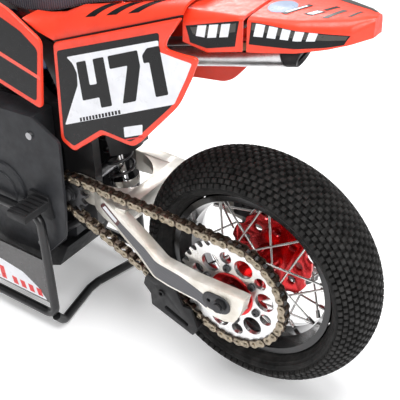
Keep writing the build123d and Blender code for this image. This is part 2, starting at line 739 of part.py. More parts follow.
def clampPlate(s, thick):
    """Triple clamp: a plate square to the steering axis that grips both fork tubes."""
    a = radians(rake)
    plane = Plane(origin=steerPoint(s), x_dir=(cos(a), 0, sin(a)), z_dir=(-sin(a), 0, cos(a)))
    face = Rectangle(19, 44) + Pos(1, 0) * Circle(11.5)
    for side in (-1, 1):
        face += Pos(forkOffset, side * forkHalfGap) * Circle(9.6)
    body = extrude(plane * face, amount=thick)
    for side in (-1, 1):
        body -= bar(forkPoint(s - 20, side * forkHalfGap), forkPoint(s + 40, side * forkHalfGap), upperTubeR + 0.02)
    return body


def steeringParts():
    stem = bar(steerPoint(146), steerPoint(222), 4.0)
    save("lower_clamp", clampPlate(146, 10) + stem)
    upper = clampPlate(214, 8) - bar(steerPoint(200), steerPoint(230), 4.0)
    mounts = []
    for side in (-1, 1):
        mounts.append(bar(steerPoint(222, -2, side * 13), steerPoint(231, -2, side * 13), 5.0))
    save("upper_clamp", upper + mounts[0] + mounts[1] - bar(steerPoint(235, -2, -40), steerPoint(235, -2, 40), 3.25))
    tubes = []
    for side in (-1, 1):
        y = side * forkHalfGap
        bore = bar(forkPoint(60, y), forkPoint(222, y), lowerTubeR + fit)
        tubes.append(bar(forkPoint(62, y), forkPoint(230, y), upperTubeR) - bore)
    save("fork_tubes", *tubes)
    save("handlebar", handlebar())
    grips = []
    for side in (-1, 1):
        sleeve = bar(barEnd(side, 0.0), barEnd(side, 31.0), 4.4) + bar(barEnd(side, 30.0), barEnd(side, 31.5), 6.2)
        grips.append(sleeve - bar(barEnd(side, 1.5), barEnd(side, 40), 3.0))
    save("grips", *grips)
    levers = []
    for side in (-1, 1):
        a = barEnd(side, 38)
        perch = bar(barEnd(side, 34.5), barEnd(side, 41.5), 5.2) - bar(barEnd(side, 30), barEnd(side, 50), 3.0)
        blade = [(a[0] + 4.4, a[1], a[2]), (a[0] + 13, a[1] + side * 6, a[2] - 1), (a[0] + 11, a[1] + side * 32, a[2] - 4)]
        levers.append(perch + pipe(blade, 1.5, 5))
    save("levers", *levers)
    save("number_plate", numberPlate())
    save("front_fender", frontFender())


def barEnd(side, inward):
    """Point on the straight grip part of the handlebar, measured inward from its end."""
    x, y, z = steerPoint(235, -2)
    end = Vector(x - 12, side * barHalf, z + 14)
    run = Vector(5, -side * 45, -3).normalized()
    point = end + run * inward
    return (point.X, point.Y, point.Z)


def handlebar():
    x, y, z = steerPoint(235, -2)
    left = [barEnd(1, 1.6), barEnd(1, 47), (x, 24, z), (x, 0, z)]
    half = pipe(left, 2.95, 7)
    return half + mirrored(half) + across(x - 4.4, z + 8.6, 1.9, -37, 37)


def numberPlate():
    x, y, z = steerPoint(215, 17)
    side = [(x, z + 24), (x + 3, z + 24), (x + 16, z - 20), (x + 13.4, z - 20)]
    plate = slab(outline(side), -24, 24)
    return plate


def frontFender():
    """Arched blade bolted under the lower clamp, rising ahead of it and then falling over the wheel."""
    line = [(140, -24), (145, -10), (145.6, 12), (145, 40), (134, 75), (112, 102)]
    top = []
    under = []
    for s, forward in line:
        x, y, z = steerPoint(s, forward)
        low = steerPoint(s - 2.2, forward)
        top.append((x, z))
        under.append((low[0], low[2]))
    edge = Spline(*top) + Line(top[-1], under[-1]) + Spline(*under[::-1]) + Line(under[0], top[0])
    blade = slab(make_face(edge), -21, 21)
    right = [(240, -15), (275, -19), (330, -20), (372, -15), (402, -6)]
    plan = right + [(x, -y) for x, y in reversed(right)]
    return blade & level(outline(plan, 4), 0, 250)


def forkLowerParts():
    sliders = []
    for side in (-1, 1):
        y = side * forkHalfGap
        leg = bar(forkPoint(9, y), forkPoint(150, y), lowerTubeR)
        foot = bar(forkPoint(-9, y), forkPoint(16, y), 7.2) - across(wheelbase, frontAxleRise, 2.5, -60, 60)
        sliders.append(leg + foot)
    save("fork_sliders", *sliders)
    guards = []
    for side in (-1, 1):
        y = side * forkHalfGap
        guard = bar(forkPoint(17, y), forkPoint(96, y), 9.6) - bar(forkPoint(10, y), forkPoint(100, y), 7.6)
        rear = Pos(*forkPoint(56, y)) * Rot(0, -rake, 0) * Pos(-11, 0, 0) * Box(22, 30, 120)
        inner = block(wheelbase - 90, wheelbase + 40, -19, 19, -40, 160)
        guards.append(guard - rear - inner)
    save("fork_guards", *guards)
    nuts = hexBar(wheelbase, frontAxleRise, 7, 34.3, 37) + hexBar(wheelbase, frontAxleRise, 7, -37, -34.3)
    collars = across(wheelbase, frontAxleRise, 4.2, 15.1, 19.7) + across(wheelbase, frontAxleRise, 4.2, -19.7, -15.1)
    save("front_axle", across(wheelbase, frontAxleRise, 2.45, -38.5, 38.5) + nuts + collars)
    x = wheelbase - 27
    z = frontAxleRise + 18
    body = caliper(x, z, 17.4, 9, 8, (wheelbase, frontAxleRise), 36)
    save("front_caliper", body)


def frontWheel():
    here = Pos(wheelbase, 0, frontAxleRise)
    save("front_tyre", here * tyre(frontTyreR, frontTyreHalf, frontRimR, frontRimHalf, 64.6))
    save("front_rim", here * rim(frontRimR, frontRimHalf, 64.6, 62.0))
    near = spokeSet(18, 15.0, 9.9, 58.6, 1.4, 54, 3, 0.6)
    far = spokeSet(18, 15.0, -9.9, 58.6, -1.4, 54, 13, 0.6)
    moved = []
    for wire in near + far:
        moved.append(here * wire)
    save("front_spokes", *moved)
    hub = lathe([(2.5 + fit, -15), (7, -15), (7, 15), (2.5 + fit, 15)])
    hub += slab(Circle(14.2), 9.2, 10.6) + slab(Circle(14.2), -10.6, -9.2)
    hub += slab(Circle(11.9), 14.4, 16.4) - slab(Circle(6.5), 15, 17)
    save("front_hub", here * hub - across(wheelbase, frontAxleRise, 2.5 + fit, -30, 30))
    disc = wavyDisc(36, 12.0, 12, 1.3, [(32.5, 0), (29.5, 7.5)])
    for window in ring(6, 19.5, 15, 5.0):
        disc -= window
    save("front_disc", here * slab(disc, 16.8, 18.0))


# ---- stand ----

def standParts():
    """Two side hoops of round wire joined by cross wires on the floor, with a plate in each hoop."""
    low = floorZ + standTubeR
    top = floorZ + 99.2
    wires = []
    hoops = []
    for side in (-1, 1):
        y = side * standHalf
        hoop = FilletPolyline((140, y, low + 9), (143.6, y, top), (222, y, top), (232, y, low + 9), radius=9, close=True)
        start = Plane(origin=hoop @ 0, z_dir=hoop % 0)
        hoops.append(sweep(start * Circle(standTubeR), path=hoop))
    frame = hoops[0] + hoops[1]
    for x, lean, kink in ((140.0, 8, 5), (232.0, 6, 22)):
        right = [(x, -standHalf, low + 9), (x, 7 - standHalf, low), (x + lean, -kink, low)]
        route = right + [(px, -y, z) for px, y, z in reversed(right)]
        frame += pipe(route, standTubeR, 6)
    save("stand_frame", frame)
    plate = slab(outline([(143.8, -66), (226.5, -66), (222.5, -28), (145.4, -28)]), standHalf - 0.8, standHalf + 0.8)
    save("stand_plates", plate, mirrored(plate))


rearWheel()
swingarmParts()
save("front_sprocket", frontSprocket())
shockParts()
chassisParts()
steeringParts()
forkLowerParts()
frontWheel()
standParts()
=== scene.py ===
import json
import math
import bpy
import bmesh
import numpy as np
from mathutils import Matrix, Vector
from mathutils.geometry import delaunay_2d_cdt

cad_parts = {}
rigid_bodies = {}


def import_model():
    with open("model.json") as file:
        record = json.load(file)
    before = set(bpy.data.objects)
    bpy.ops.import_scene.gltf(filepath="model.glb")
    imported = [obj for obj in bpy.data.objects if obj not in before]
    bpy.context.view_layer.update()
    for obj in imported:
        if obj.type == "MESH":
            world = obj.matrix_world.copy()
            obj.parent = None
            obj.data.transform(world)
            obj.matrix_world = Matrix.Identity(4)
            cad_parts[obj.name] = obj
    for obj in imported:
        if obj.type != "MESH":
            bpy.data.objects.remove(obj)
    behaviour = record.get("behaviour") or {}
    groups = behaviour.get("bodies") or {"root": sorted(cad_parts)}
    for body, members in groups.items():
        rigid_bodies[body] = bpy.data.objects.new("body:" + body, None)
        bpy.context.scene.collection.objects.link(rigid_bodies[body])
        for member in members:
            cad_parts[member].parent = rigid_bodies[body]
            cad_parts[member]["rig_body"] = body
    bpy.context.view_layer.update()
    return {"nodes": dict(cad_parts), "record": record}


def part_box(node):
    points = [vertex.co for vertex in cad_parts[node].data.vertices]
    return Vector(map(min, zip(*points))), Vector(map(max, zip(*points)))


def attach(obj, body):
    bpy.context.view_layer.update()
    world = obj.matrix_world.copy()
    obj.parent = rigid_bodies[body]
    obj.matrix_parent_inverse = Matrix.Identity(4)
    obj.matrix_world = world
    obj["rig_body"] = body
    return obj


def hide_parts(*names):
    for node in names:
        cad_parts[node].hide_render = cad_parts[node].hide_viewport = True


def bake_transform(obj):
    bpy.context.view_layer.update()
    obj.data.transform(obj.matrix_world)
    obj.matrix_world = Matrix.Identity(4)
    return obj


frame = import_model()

# Lengths in every settings dictionary are millimetres from the rear axle: x forwards, y to the left, z up.
mm = 0.001


def centreOf(node):
    low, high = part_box(node)
    return np.array((low + high) / 2)


rearAxle = centreOf("rear_tyre")
frontAxle = centreOf("front_tyre")
pivotSpot = np.array(frame["record"]["behaviour"]["joints"][0]["pos_m"])
nodes = frame["nodes"]


class Finish:
    # one material: a principled shader with patterns read from Object coordinates
    def __init__(self, name, color, rough, metal=0.0, coat=0.0, coatRough=0.08, specular=0.5):
        self.material = bpy.data.materials.new(name)
        self.material.use_nodes = True
        self.tree = self.material.node_tree
        self.shader = self.tree.nodes["Principled BSDF"]
        self.shader.inputs["Base Color"].default_value = (*color, 1)
        self.shader.inputs["Roughness"].default_value = rough
        self.shader.inputs["Metallic"].default_value = metal
        self.shader.inputs["Coat Weight"].default_value = coat
        self.shader.inputs["Coat Roughness"].default_value = coatRough
        self.shader.inputs["Specular IOR Level"].default_value = specular
        self.coordinate = self.add("ShaderNodeTexCoord").outputs["Object"]
        self.lastNormal = None

    def add(self, kind, **settings):
        node = self.tree.nodes.new(kind)
        for key, value in settings.items():
            setattr(node, key, value)
        return node

    def link(self, a, b):
        self.tree.links.new(a, b)

    def place(self, centre=(0, 0, 0), stretch=(1, 1, 1), turn=(0, 0, 0)):
        # coordinates counted from a centre, turned, then stretched
        shift = self.add("ShaderNodeVectorMath", operation="SUBTRACT")
        self.link(self.coordinate, shift.inputs[0])
        shift.inputs[1].default_value = tuple(centre)
        mapping = self.add("ShaderNodeMapping", vector_type="POINT")
        mapping.inputs["Rotation"].default_value = turn
        mapping.inputs["Scale"].default_value = stretch
        self.link(shift.outputs[0], mapping.inputs["Vector"])
        return mapping.outputs[0]

    def noise(self, size, detail=3.0, stretch=(1, 1, 1), turn=(0, 0, 0)):
        # size is the width of one blotch in millimetres
        node = self.add("ShaderNodeTexNoise")
        node.inputs["Scale"].default_value = 1 / (size * mm)
        node.inputs["Detail"].default_value = detail
        self.link(self.place(stretch=stretch, turn=turn), node.inputs["Vector"])
        return node.outputs["Fac"]

    def rings(self, centre, size, distortion=0.6):
        # turned or ground marks round the Y axis through centre
        node = self.add("ShaderNodeTexWave", wave_type="RINGS", rings_direction="Y")
        node.inputs["Scale"].default_value = 1 / (size * mm * 20)
        node.inputs["Distortion"].default_value = distortion
        node.inputs["Detail"].default_value = 3.0
        self.link(self.place(centre), node.inputs["Vector"])
        return node.outputs["Fac"]

    def bands(self, size, direction="X", turn=(0, 0, 0), shape="SIN"):
        node = self.add("ShaderNodeTexWave", wave_type="BANDS", bands_direction=direction, wave_profile=shape)
        node.inputs["Scale"].default_value = math.pi / (size * mm * 10)
        self.link(self.place(turn=turn), node.inputs["Vector"])
        return node.outputs["Fac"]

    def cells(self, size):
        node = self.add("ShaderNodeTexVoronoi")
        node.inputs["Scale"].default_value = 1 / (size * mm)
        self.link(self.coordinate, node.inputs["Vector"])
        return node.outputs["Distance"]

    def tint(self, pattern, low, high, start=0.3, end=0.7):
        ramp = self.add("ShaderNodeValToRGB")
        ramp.color_ramp.elements[0].position = start
        ramp.color_ramp.elements[1].position = end
        ramp.color_ramp.elements[0].color = (*low, 1)
        ramp.color_ramp.elements[1].color = (*high, 1)
        self.link(pattern, ramp.inputs[0])
        self.link(ramp.outputs[0], self.shader.inputs["Base Color"])
        return self

    def polish(self, pattern, low, high, start=0.3, end=0.7):
        spread = self.add("ShaderNodeMapRange")
        for key, value in (("From Min", start), ("From Max", end), ("To Min", low), ("To Max", high)):
            spread.inputs[key].default_value = value
        self.link(pattern, spread.inputs["Value"])
        self.link(spread.outputs[0], self.shader.inputs["Roughness"])
        return self

    def relief(self, pattern, depth, strength=1.0):
        # depth in millimetres
        bump = self.add("ShaderNodeBump")
        bump.inputs["Strength"].default_value = strength
        bump.inputs["Distance"].default_value = depth * mm
        self.link(pattern, bump.inputs["Height"])
        if self.lastNormal:
            self.link(self.lastNormal, bump.inputs["Normal"])
        self.lastNormal = bump.outputs[0]
        self.link(self.lastNormal, self.shader.inputs["Normal"])
        return self


def shade(color, factor):
    return tuple(c * factor for c in color)


def mouldedGloss(name, color, rough=0.22, coat=0.6):
    # injection-moulded plastic: orange-peel skin and faint handling marks
    f = Finish(name, color, rough, coat=coat)
    f.tint(f.noise(14), shade(color, 0.9), shade(color, 1.06))
    f.polish(f.noise(3.0, 6), rough * 0.8, rough * 1.5)
    f.relief(f.noise(1.6), 0.012)
    return f.relief(f.noise(0.25), 0.004).material


def mouldedMatte(name, color, rough=0.5, grain=0.35, depth=0.03):
    # spark-eroded mould texture with paler rubbed patches
    f = Finish(name, color, rough, specular=0.3)
    f.tint(f.noise(9, 6), shade(color, 0.8), shade(color, 1.35))
    f.polish(f.noise(4, 5), rough * 0.82, rough * 1.2)
    f.relief(f.cells(grain), depth)
    return f.relief(f.noise(5), 0.05, 0.5).material


def brushedMetal(name, color, rough=0.32, grain=(1, 8, 8), size=1.2, depth=0.01, blotch=9, spread=0.12):
    # drawn or brushed surface: fine lines along one axis, with cloudy tone
    f = Finish(name, color, rough, metal=1.0)
    f.tint(f.noise(blotch, 5), shade(color, 1 - spread), shade(color, 1 + spread * 0.5))
    f.polish(f.noise(size, 4, stretch=grain), rough * 0.75, rough * 1.35)
    return f.relief(f.noise(size, 5, stretch=grain), depth).material


def turnedMetal(name, color, centre, rough=0.25, size=0.35, depth=0.012, spread=0.1):
    # faced on a lathe: rings round the axle
    f = Finish(name, color, rough, metal=1.0)
    f.tint(f.noise(7, 5), shade(color, 1 - spread), shade(color, 1.05))
    f.polish(f.noise(2, 5), rough * 0.8, rough * 1.4)
    return f.relief(f.rings(centre, size), depth).material


def coatedMetal(name, color, rough=0.35, metal=0.0, peel=1.1, depth=0.02, coat=0.3):
    # powder coat or hard anodising
    f = Finish(name, color, rough, metal=metal, coat=coat, coatRough=0.2)
    f.tint(f.noise(8, 5), shade(color, 0.85), shade(color, 1.15))
    f.polish(f.noise(2.2, 5), rough * 0.8, rough * 1.3)
    return f.relief(f.noise(peel, 2), depth).material


def castAlloy():
    # satin tumbled aluminium with warm handling stains and a fine cast skin
    f = Finish("castAlloy", (0.8, 0.775, 0.715), 0.36, metal=0.62, coat=0.12, coatRough=0.3)
    f.tint(f.noise(17, 7), (0.6, 0.55, 0.46), (0.9, 0.875, 0.82), 0.25, 0.62)
    f.polish(f.noise(3.5, 6), 0.3, 0.5)
    f.relief(f.noise(0.5, 4), 0.012)
    return f.relief(f.noise(6, 3), 0.05, 0.6).material


def tyreRubber():
    # dull moulded rubber with a dusting on the high spots
    f = Finish("tyreRubber", (0.022, 0.022, 0.022), 0.62, specular=0.2)
    f.tint(f.noise(6, 7), (0.008, 0.008, 0.008), (0.03, 0.029, 0.028))
    f.polish(f.noise(2.5, 5), 0.5, 0.78)
    f.relief(f.noise(0.4, 4), 0.03)
    return f.relief(f.noise(3, 4), 0.05).material


def grippedCover():
    # seat cover: close lengthwise ribs over a pebbled vinyl
    f = Finish("grippedCover", (0.03, 0.033, 0.05), 0.6)
    f.shader.inputs["Sheen Weight"].default_value = 0.25
    # the colour follows the same bands as the ribs: darker in the troughs and lighter on the crests, as
    # painted shade in the grooves and painted light on the crests
    f.tint(f.bands(1.9, "X"), (0.012, 0.014, 0.022), (0.05, 0.055, 0.085))
    f.polish(f.noise(2, 5), 0.5, 0.75)
    f.relief(f.bands(1.9, "X"), 0.35)
    return f.relief(f.cells(0.4), 0.05).material


def ribbedGrip():
    # soft handlebar grip: close rings along its length
    f = Finish("gripRubber", (0.016, 0.016, 0.017), 0.7)
    f.tint(f.noise(5, 5), (0.01, 0.01, 0.01), (0.03, 0.03, 0.03))
    f.polish(f.noise(2, 4), 0.55, 0.8)
    f.relief(f.bands(1.8, "Y"), 0.4)
    return f.relief(f.noise(0.4, 4), 0.03).material


def carbonFilm():
    # printed twill: two crossed sets of narrow bands
    f = Finish("carbonFilm", (0.09, 0.09, 0.1), 0.42, coat=0.25, coatRough=0.3)
    weave = f.add("ShaderNodeMath", operation="MULTIPLY")
    f.link(f.bands(0.9, "X", turn=(0, math.radians(45), 0)), weave.inputs[0])
    f.link(f.bands(0.9, "X", turn=(0, math.radians(-45), 0)), weave.inputs[1])
    f.tint(weave.outputs[0], (0.035, 0.036, 0.042), (0.17, 0.17, 0.19), 0.1, 0.8)
    return f.relief(weave.outputs[0], 0.02).material


def printedFilm(name, color, rough=0.25, specular=0.4):
    # vinyl sticker: even ink, slight waviness
    f = Finish(name, color, rough, coat=0.1, specular=specular)
    f.tint(f.noise(11), shade(color, 0.93), shade(color, 1.04))
    f.polish(f.noise(4, 4), rough * 0.8, rough * 1.4)
    return f.relief(f.noise(5), 0.02).material


def chainPlates(name, color, rough):
    # nickel plating over steel, browned by oil
    f = Finish(name, color, rough, metal=1.0)
    f.tint(f.noise(2.8, 5), shade(color, 0.55), shade(color, 1.25))
    f.polish(f.noise(1.2, 4), rough * 0.7, rough * 1.5)
    return f.relief(f.noise(0.4, 4), 0.012).material


def windowedSteel():
    # rolled can: fine lines round it
    f = Finish("mufflerSkin", (0.66, 0.66, 0.67), 0.27, metal=1.0)
    f.tint(f.noise(8, 5), (0.56, 0.56, 0.57), (0.76, 0.76, 0.77))
    f.polish(f.noise(1.4, 4, stretch=(7, 1, 7)), 0.2, 0.4)
    return f.relief(f.noise(1.1, 4, stretch=(7, 1, 7)), 0.01).material


red = (0.9, 0.052, 0.018)
finishes = {
    "red_gloss": mouldedGloss("redPlastic", red, 0.36, 0.12),
    "black_gloss": mouldedGloss("blackGloss", (0.012, 0.012, 0.013), 0.16),
    "black_plastic": mouldedMatte("blackPlastic", (0.012, 0.012, 0.013), 0.48),
    "grey_plastic": mouldedMatte("greyPlastic", (0.024, 0.025, 0.028), 0.42, 0.3, 0.02),
    "seat_cover": grippedCover(),
    "tyre_rubber": tyreRubber(),
    "rim_black": coatedMetal("rimBlack", (0.012, 0.012, 0.013), 0.2, 0.6, 1.4, 0.012, 0.7),
    "spoke_steel": brushedMetal("spokeSteel", (0.78, 0.77, 0.75), 0.18, (3, 3, 3), 1.0, 0.006),
    "hub_red": coatedMetal("hubRed", (0.62, 0.008, 0.012), 0.2, 0.85, 0.8, 0.01, 0.5),
    "sprocket_alloy": turnedMetal("sprocketAlloy", (0.8, 0.8, 0.8), rearAxle, 0.3, 0.3, 0.008),
    "chain_nickel": chainPlates("chainNickel", (0.34, 0.29, 0.22), 0.28),
    "arm_alloy": castAlloy(),
    "dark_metal": coatedMetal("blackOxide", (0.05, 0.05, 0.053), 0.34, 0.75, 0.5, 0.012, 0.1),
    "bolt_steel": turnedMetal("boltSteel", (0.4, 0.4, 0.41), pivotSpot, 0.3, 0.3),
    "disc_steel": turnedMetal("discSteel", (0.42, 0.42, 0.43), rearAxle, 0.28, 0.25, 0.01),
    "muffler_alloy": windowedSteel(),
    "pipe_steel": brushedMetal("pipeSteel", (0.5, 0.42, 0.32), 0.3, (2, 5, 5), 1.6, 0.01, 12, 0.35),
    "frame_black": coatedMetal("frameBlack", (0.016, 0.016, 0.017), 0.36),
    "spring_black": coatedMetal("springBlack", (0.02, 0.02, 0.022), 0.3),
    "fork_black": coatedMetal("forkBlack", (0.014, 0.014, 0.016), 0.26, 0.6),
    "slider_chrome": brushedMetal("sliderChrome", (0.86, 0.86, 0.87), 0.12, (4, 4, 1), 1.2, 0.003),
    "grip_rubber": ribbedGrip(),
    "bar_grey": coatedMetal("barGrey", (0.06, 0.06, 0.065), 0.34, 0.8),
    "stand_black": coatedMetal("standBlack", (0.005, 0.005, 0.006), 0.34, 0.0, 1.0, 0.02, 0.1),
    "stand_card": mouldedGloss("standCard", (0.03, 0.028, 0.028), 0.3),
    "plate_white": mouldedGloss("plateWhite", (0.82, 0.82, 0.82), 0.25),
    "battery_wrap": mouldedGloss("batteryWrap", (0.03, 0.09, 0.28), 0.2),
}
pinkEdge = mouldedGloss("paleRed", (0.95, 0.1, 0.06), 0.34, 0.1)
inkBlack = printedFilm("inkBlack", (0.006, 0.006, 0.007), 0.3, 0.22)
inkWhite = printedFilm("inkWhite", (0.85, 0.86, 0.9), 0.3)
inkGrey = printedFilm("inkGrey", (0.06, 0.056, 0.05), 0.3)
inkRed = printedFilm("inkRed", (0.75, 0.03, 0.03), 0.3)
inkMaroon = printedFilm("inkMaroon", (0.09, 0.008, 0.01), 0.25)
inkBlue = printedFilm("inkBlue", (0.2, 0.27, 0.4), 0.3)
inkGold = printedFilm("inkGold", (0.42, 0.37, 0.22), 0.35)
carbon = carbonFilm()
chainDark = chainPlates("chainDark", (0.16, 0.12, 0.095), 0.36)

for part in frame["record"]["subparts"]:
    mesh = nodes[part["node"]].data
    mesh.materials.clear()
    mesh.materials.append(finishes[part["material_slot"]])
print("finishes on CAD nodes")


def gridFaces(rows, cols, closeRows=False, closeCols=False):
    # quads between neighbouring grid points
    i = np.arange(rows if closeRows else rows - 1)
    j = np.arange(cols if closeCols else cols - 1)
    a, b = np.meshgrid(i, j, indexing="ij")
    c = (a + 1) % rows
    d = (b + 1) % cols
    return np.stack([a * cols + b, c * cols + b, c * cols + d, a * cols + d], -1).reshape(-1, 4)


def joined(shapes):
    # shapes are (points, list of face arrays); their indices are shifted and stacked
    points = []
    faces = []
    count = 0
    for spots, sets in shapes:
        points.append(spots)
        faces += [np.asarray(s) + count for s in sets]
        count += len(spots)
    return np.concatenate(points), faces


def newPiece(name, shape, body, material, replaced=(), wall=0, sub=0, sharp=35):
    # points in millimetres from the rear axle become a mesh in the frame's metres
    points, faces = shape
    mesh = bpy.data.meshes.new(name)
    mesh.from_pydata((points * mm + rearAxle).tolist(), [],
                     [f for s in faces for f in np.asarray(s).tolist()])
    piece = bpy.data.objects.new(name, mesh)
    bpy.context.scene.collection.objects.link(piece)
    if wall:
        solid = piece.modifiers.new("wall", "SOLIDIFY")
        solid.thickness = wall * mm
        solid.offset = -1
        solid.use_even_offset = True
    if sub:
        smooth = piece.modifiers.new("smooth", "SUBSURF")
        smooth.levels = sub
        smooth.render_levels = sub
    if wall or sub:
        bakeModifiers(piece)
    tidyNormals(piece.data)
    piece.data.shade_smooth()
    piece.data.set_sharp_from_angle(angle=math.radians(sharp))
    piece.data.materials.clear()
    piece.data.materials.append(material)
    if body:
        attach(piece, body)
    if replaced:
        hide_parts(*replaced)
    return piece


def bakeModifiers(piece):
    graph = bpy.context.evaluated_depsgraph_get()
    baked = bpy.data.meshes.new_from_object(piece.evaluated_get(graph))
    piece.modifiers.clear()
    piece.data = baked


def tidyNormals(mesh):
    work = bmesh.new()
    work.from_mesh(mesh)
    bmesh.ops.remove_doubles(work, verts=work.verts, dist=1e-6)
    bmesh.ops.recalc_face_normals(work, faces=work.faces)
    work.to_mesh(mesh)
    work.free()


def softened(node, width, material=None, segments=2, angle=32):
    # the CAD shape again, with its sharp edges rounded by width millimetres
    source = nodes[node]
    mesh = source.data.copy()
    mesh.name = node + "_rounded"
    piece = bpy.data.objects.new(node + "_rounded", mesh)
    bpy.context.scene.collection.objects.link(piece)
    work = bmesh.new()
    work.from_mesh(mesh)
    bmesh.ops.remove_doubles(work, verts=work.verts, dist=2e-6)
    bmesh.ops.dissolve_limit(work, angle_limit=math.radians(0.6), verts=work.verts, edges=work.edges)
    work.to_mesh(mesh)
    work.free()
    bevel = piece.modifiers.new("rounding", "BEVEL")
    bevel.width = width * mm
    bevel.segments = segments
    bevel.limit_method = "ANGLE"
    bevel.angle_limit = math.radians(angle)
    bevel.use_clamp_overlap = True
    bakeModifiers(piece)
    piece.data.shade_smooth()
    piece.data.set_sharp_from_angle(angle=math.radians(40))
    if material:
        piece.data.materials.clear()
        piece.data.materials.append(material)
    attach(piece, source["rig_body"])
    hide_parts(node)
    return piece


def rounded(points, radius, steps=5):
    # each corner becomes a quadratic curve that starts and ends a radius away from it
    p = np.array(points, float)
    before = np.roll(p, 1, 0) - p
    after = np.roll(p, -1, 0) - p
    lengthBefore = np.linalg.norm(before, axis=1, keepdims=True)
    lengthAfter = np.linalg.norm(after, axis=1, keepdims=True)
    a = p + before / lengthBefore * np.minimum(radius, 0.45 * lengthBefore)
    c = p + after / lengthAfter * np.minimum(radius, 0.45 * lengthAfter)
    t = np.linspace(0, 1, steps)[None, :, None]
    curve = (1 - t) ** 2 * a[:, None] + 2 * t * (1 - t) * p[:, None] + t ** 2 * c[:, None]
    return curve.reshape(-1, 2)


def turnedLeft(points):
    # the outline in the order that has its inside on the left
    x, z = points[:, 0], points[:, 1]
    area = np.sum(x * np.roll(z, -1) - z * np.roll(x, -1))
    return points if area > 0 else points[::-1]


def inset(points, distance):
    # every corner moves inwards along its mitre
    p = turnedLeft(np.asarray(points, float))
    ahead = np.roll(p, -1, 0) - p
    ahead /= np.maximum(np.linalg.norm(ahead, axis=1, keepdims=True), 1e-9)
    normal = np.stack([-ahead[:, 1], ahead[:, 0]], 1)
    back = np.roll(normal, 1, 0)
    spread = np.maximum(1 + np.sum(normal * back, 1, keepdims=True), 0.35)
    return p + (normal + back) / spread * distance


def filled(border, step):
    # triangles that fill an outline, with inner points on a square grid where step is given
    low, high = border.min(0), border.max(0)
    inner = np.zeros((0, 2))
    if step:
        xs, zs = np.meshgrid(np.arange(low[0], high[0], step), np.arange(low[1], high[1], step),
                             indexing="ij")
        inner = np.stack([xs.ravel(), zs.ravel()], 1) + step * 0.37
        apart = np.linalg.norm(inner[:, None] - border[None], axis=2).min(1)
        inner = inner[apart > step * 0.55]
    loop = list(range(len(border)))
    spots = [Vector(p) for p in np.concatenate([border, inner]).tolist()]
    result = delaunay_2d_cdt(spots, [], [loop], 1, 1e-6)
    return np.array([tuple(v) for v in result[0]]), [list(f) for f in result[2]]


def slabShape(outline, back, front, bevel, lay, step=0):
    # a plate: its rim climbs a quarter circle of radius bevel from the side wall to the front face
    border = turnedLeft(np.asarray(outline, float))
    turns = np.radians((0, 30, 60, 90)) if bevel else np.array([math.pi / 2])
    rings = [np.column_stack([border, np.full(len(border), back)])]
    for angle in turns:
        ring = inset(border, bevel * (1 - math.cos(angle)))
        rings.append(np.column_stack([ring, np.full(len(ring), front - bevel * (1 - math.sin(angle)))]))
    wallPoints = np.concatenate(rings)
    wallFaces = gridFaces(len(rings), len(border), False, True)
    frontFlat, frontFaces = filled(rings[-1][:, :2], step)
    backFlat, backFaces = filled(border, step)
    faces = [wallFaces.tolist()]
    count = len(wallPoints)
    faces.append([[i + count for i in f] for f in frontFaces])
    count += len(frontFlat)
    faces.append([[i + count for i in f] for f in backFaces])
    every = np.concatenate([wallPoints, np.column_stack([frontFlat, np.full(len(frontFlat), front)]),
                            np.column_stack([backFlat, np.full(len(backFlat), back)])])
    spots = lay(every[:, 0], every[:, 1], every[:, 2])
    flat = [f for group in faces for f in group]
    return spots, [[f] for f in flat]


def leftSide(x, z, depth):
    return np.column_stack([x, depth, z])


def rightSide(x, z, depth):
    return np.column_stack([x, -depth, z])


def lathed(profile, count, centre=(0.0, 0.0)):
    # a closed profile of (radius, y) carried round the Y axis through centre
    turn = np.linspace(0, 2 * math.pi, count, endpoint=False)
    p = np.asarray(profile, float)
    x = centre[0] + np.cos(turn)[:, None] * p[None, :, 0]
    z = centre[1] + np.sin(turn)[:, None] * p[None, :, 0]
    y = np.broadcast_to(p[None, :, 1], x.shape)
    return np.stack([x, y, z], -1).reshape(-1, 3), [gridFaces(count, len(p), True, True)]


def tubeAlong(path, radius, sides=12):
    # rings square to the path's direction, each of its own radius, closed by a cap at either end
    p = np.asarray(path, float)
    way = np.gradient(p, axis=0)
    way /= np.linalg.norm(way, axis=1, keepdims=True)
    guide = np.array([0.0, 0.0, 1.0]) if abs(way[:, 2]).max() < 0.95 else np.array([0.0, 1.0, 0.0])
    one = np.cross(way, guide)
    one /= np.linalg.norm(one, axis=1, keepdims=True)
    two = np.cross(way, one)
    turn = np.linspace(0, 2 * math.pi, sides, endpoint=False)
    r = np.broadcast_to(np.asarray(radius, float).reshape(-1, 1, 1), (len(p), 1, 1))
    spots = p[:, None] + r * (np.cos(turn)[None, :, None] * one[:, None] + np.sin(turn)[None, :, None]
                              * two[:, None])
    last = (len(p) - 1) * sides
    caps = [list(range(sides))[::-1], [last + k for k in range(sides)]]
    return spots.reshape(-1, 3), [gridFaces(len(p), sides, False, True), caps]


rearTyre = {"name": "rear_tyre_tread", "node": "rear_tyre", "body": "rear_wheel", "centre": (0.0, 0.0),
            "outer": 82.7,
            "half": 26.0, "crown": 22.7, "bead": 58.7, "beadY": 13.2, "knobsAcross": 17, "knobsRound": 92,
            "knob": (3.1, 2.75), "height": 2.7, "reach": 66}
frontTyre = {"name": "front_tyre_tread", "node": "front_tyre", "body": "front_wheel",
             "centre": tuple((frontAxle - rearAxle)[[0, 2]] / mm), "outer": 87.0, "half": 14.0, "crown": 15.0,
             "bead": 67.5, "beadY": 6.6, "knobsAcross": 9, "knobsRound": 98, "knob": (3.2, 2.9),
             "height": 2.5, "reach": 64}


def crownPoint(s, angle, sink):
    # elliptical crown: radius and y of the point at angle, sunk below the knob tops
    mid = s["outer"] - s["crown"]
    return mid + (s["crown"] - sink) * np.cos(angle), (s["half"] - sink) * np.sin(angle)


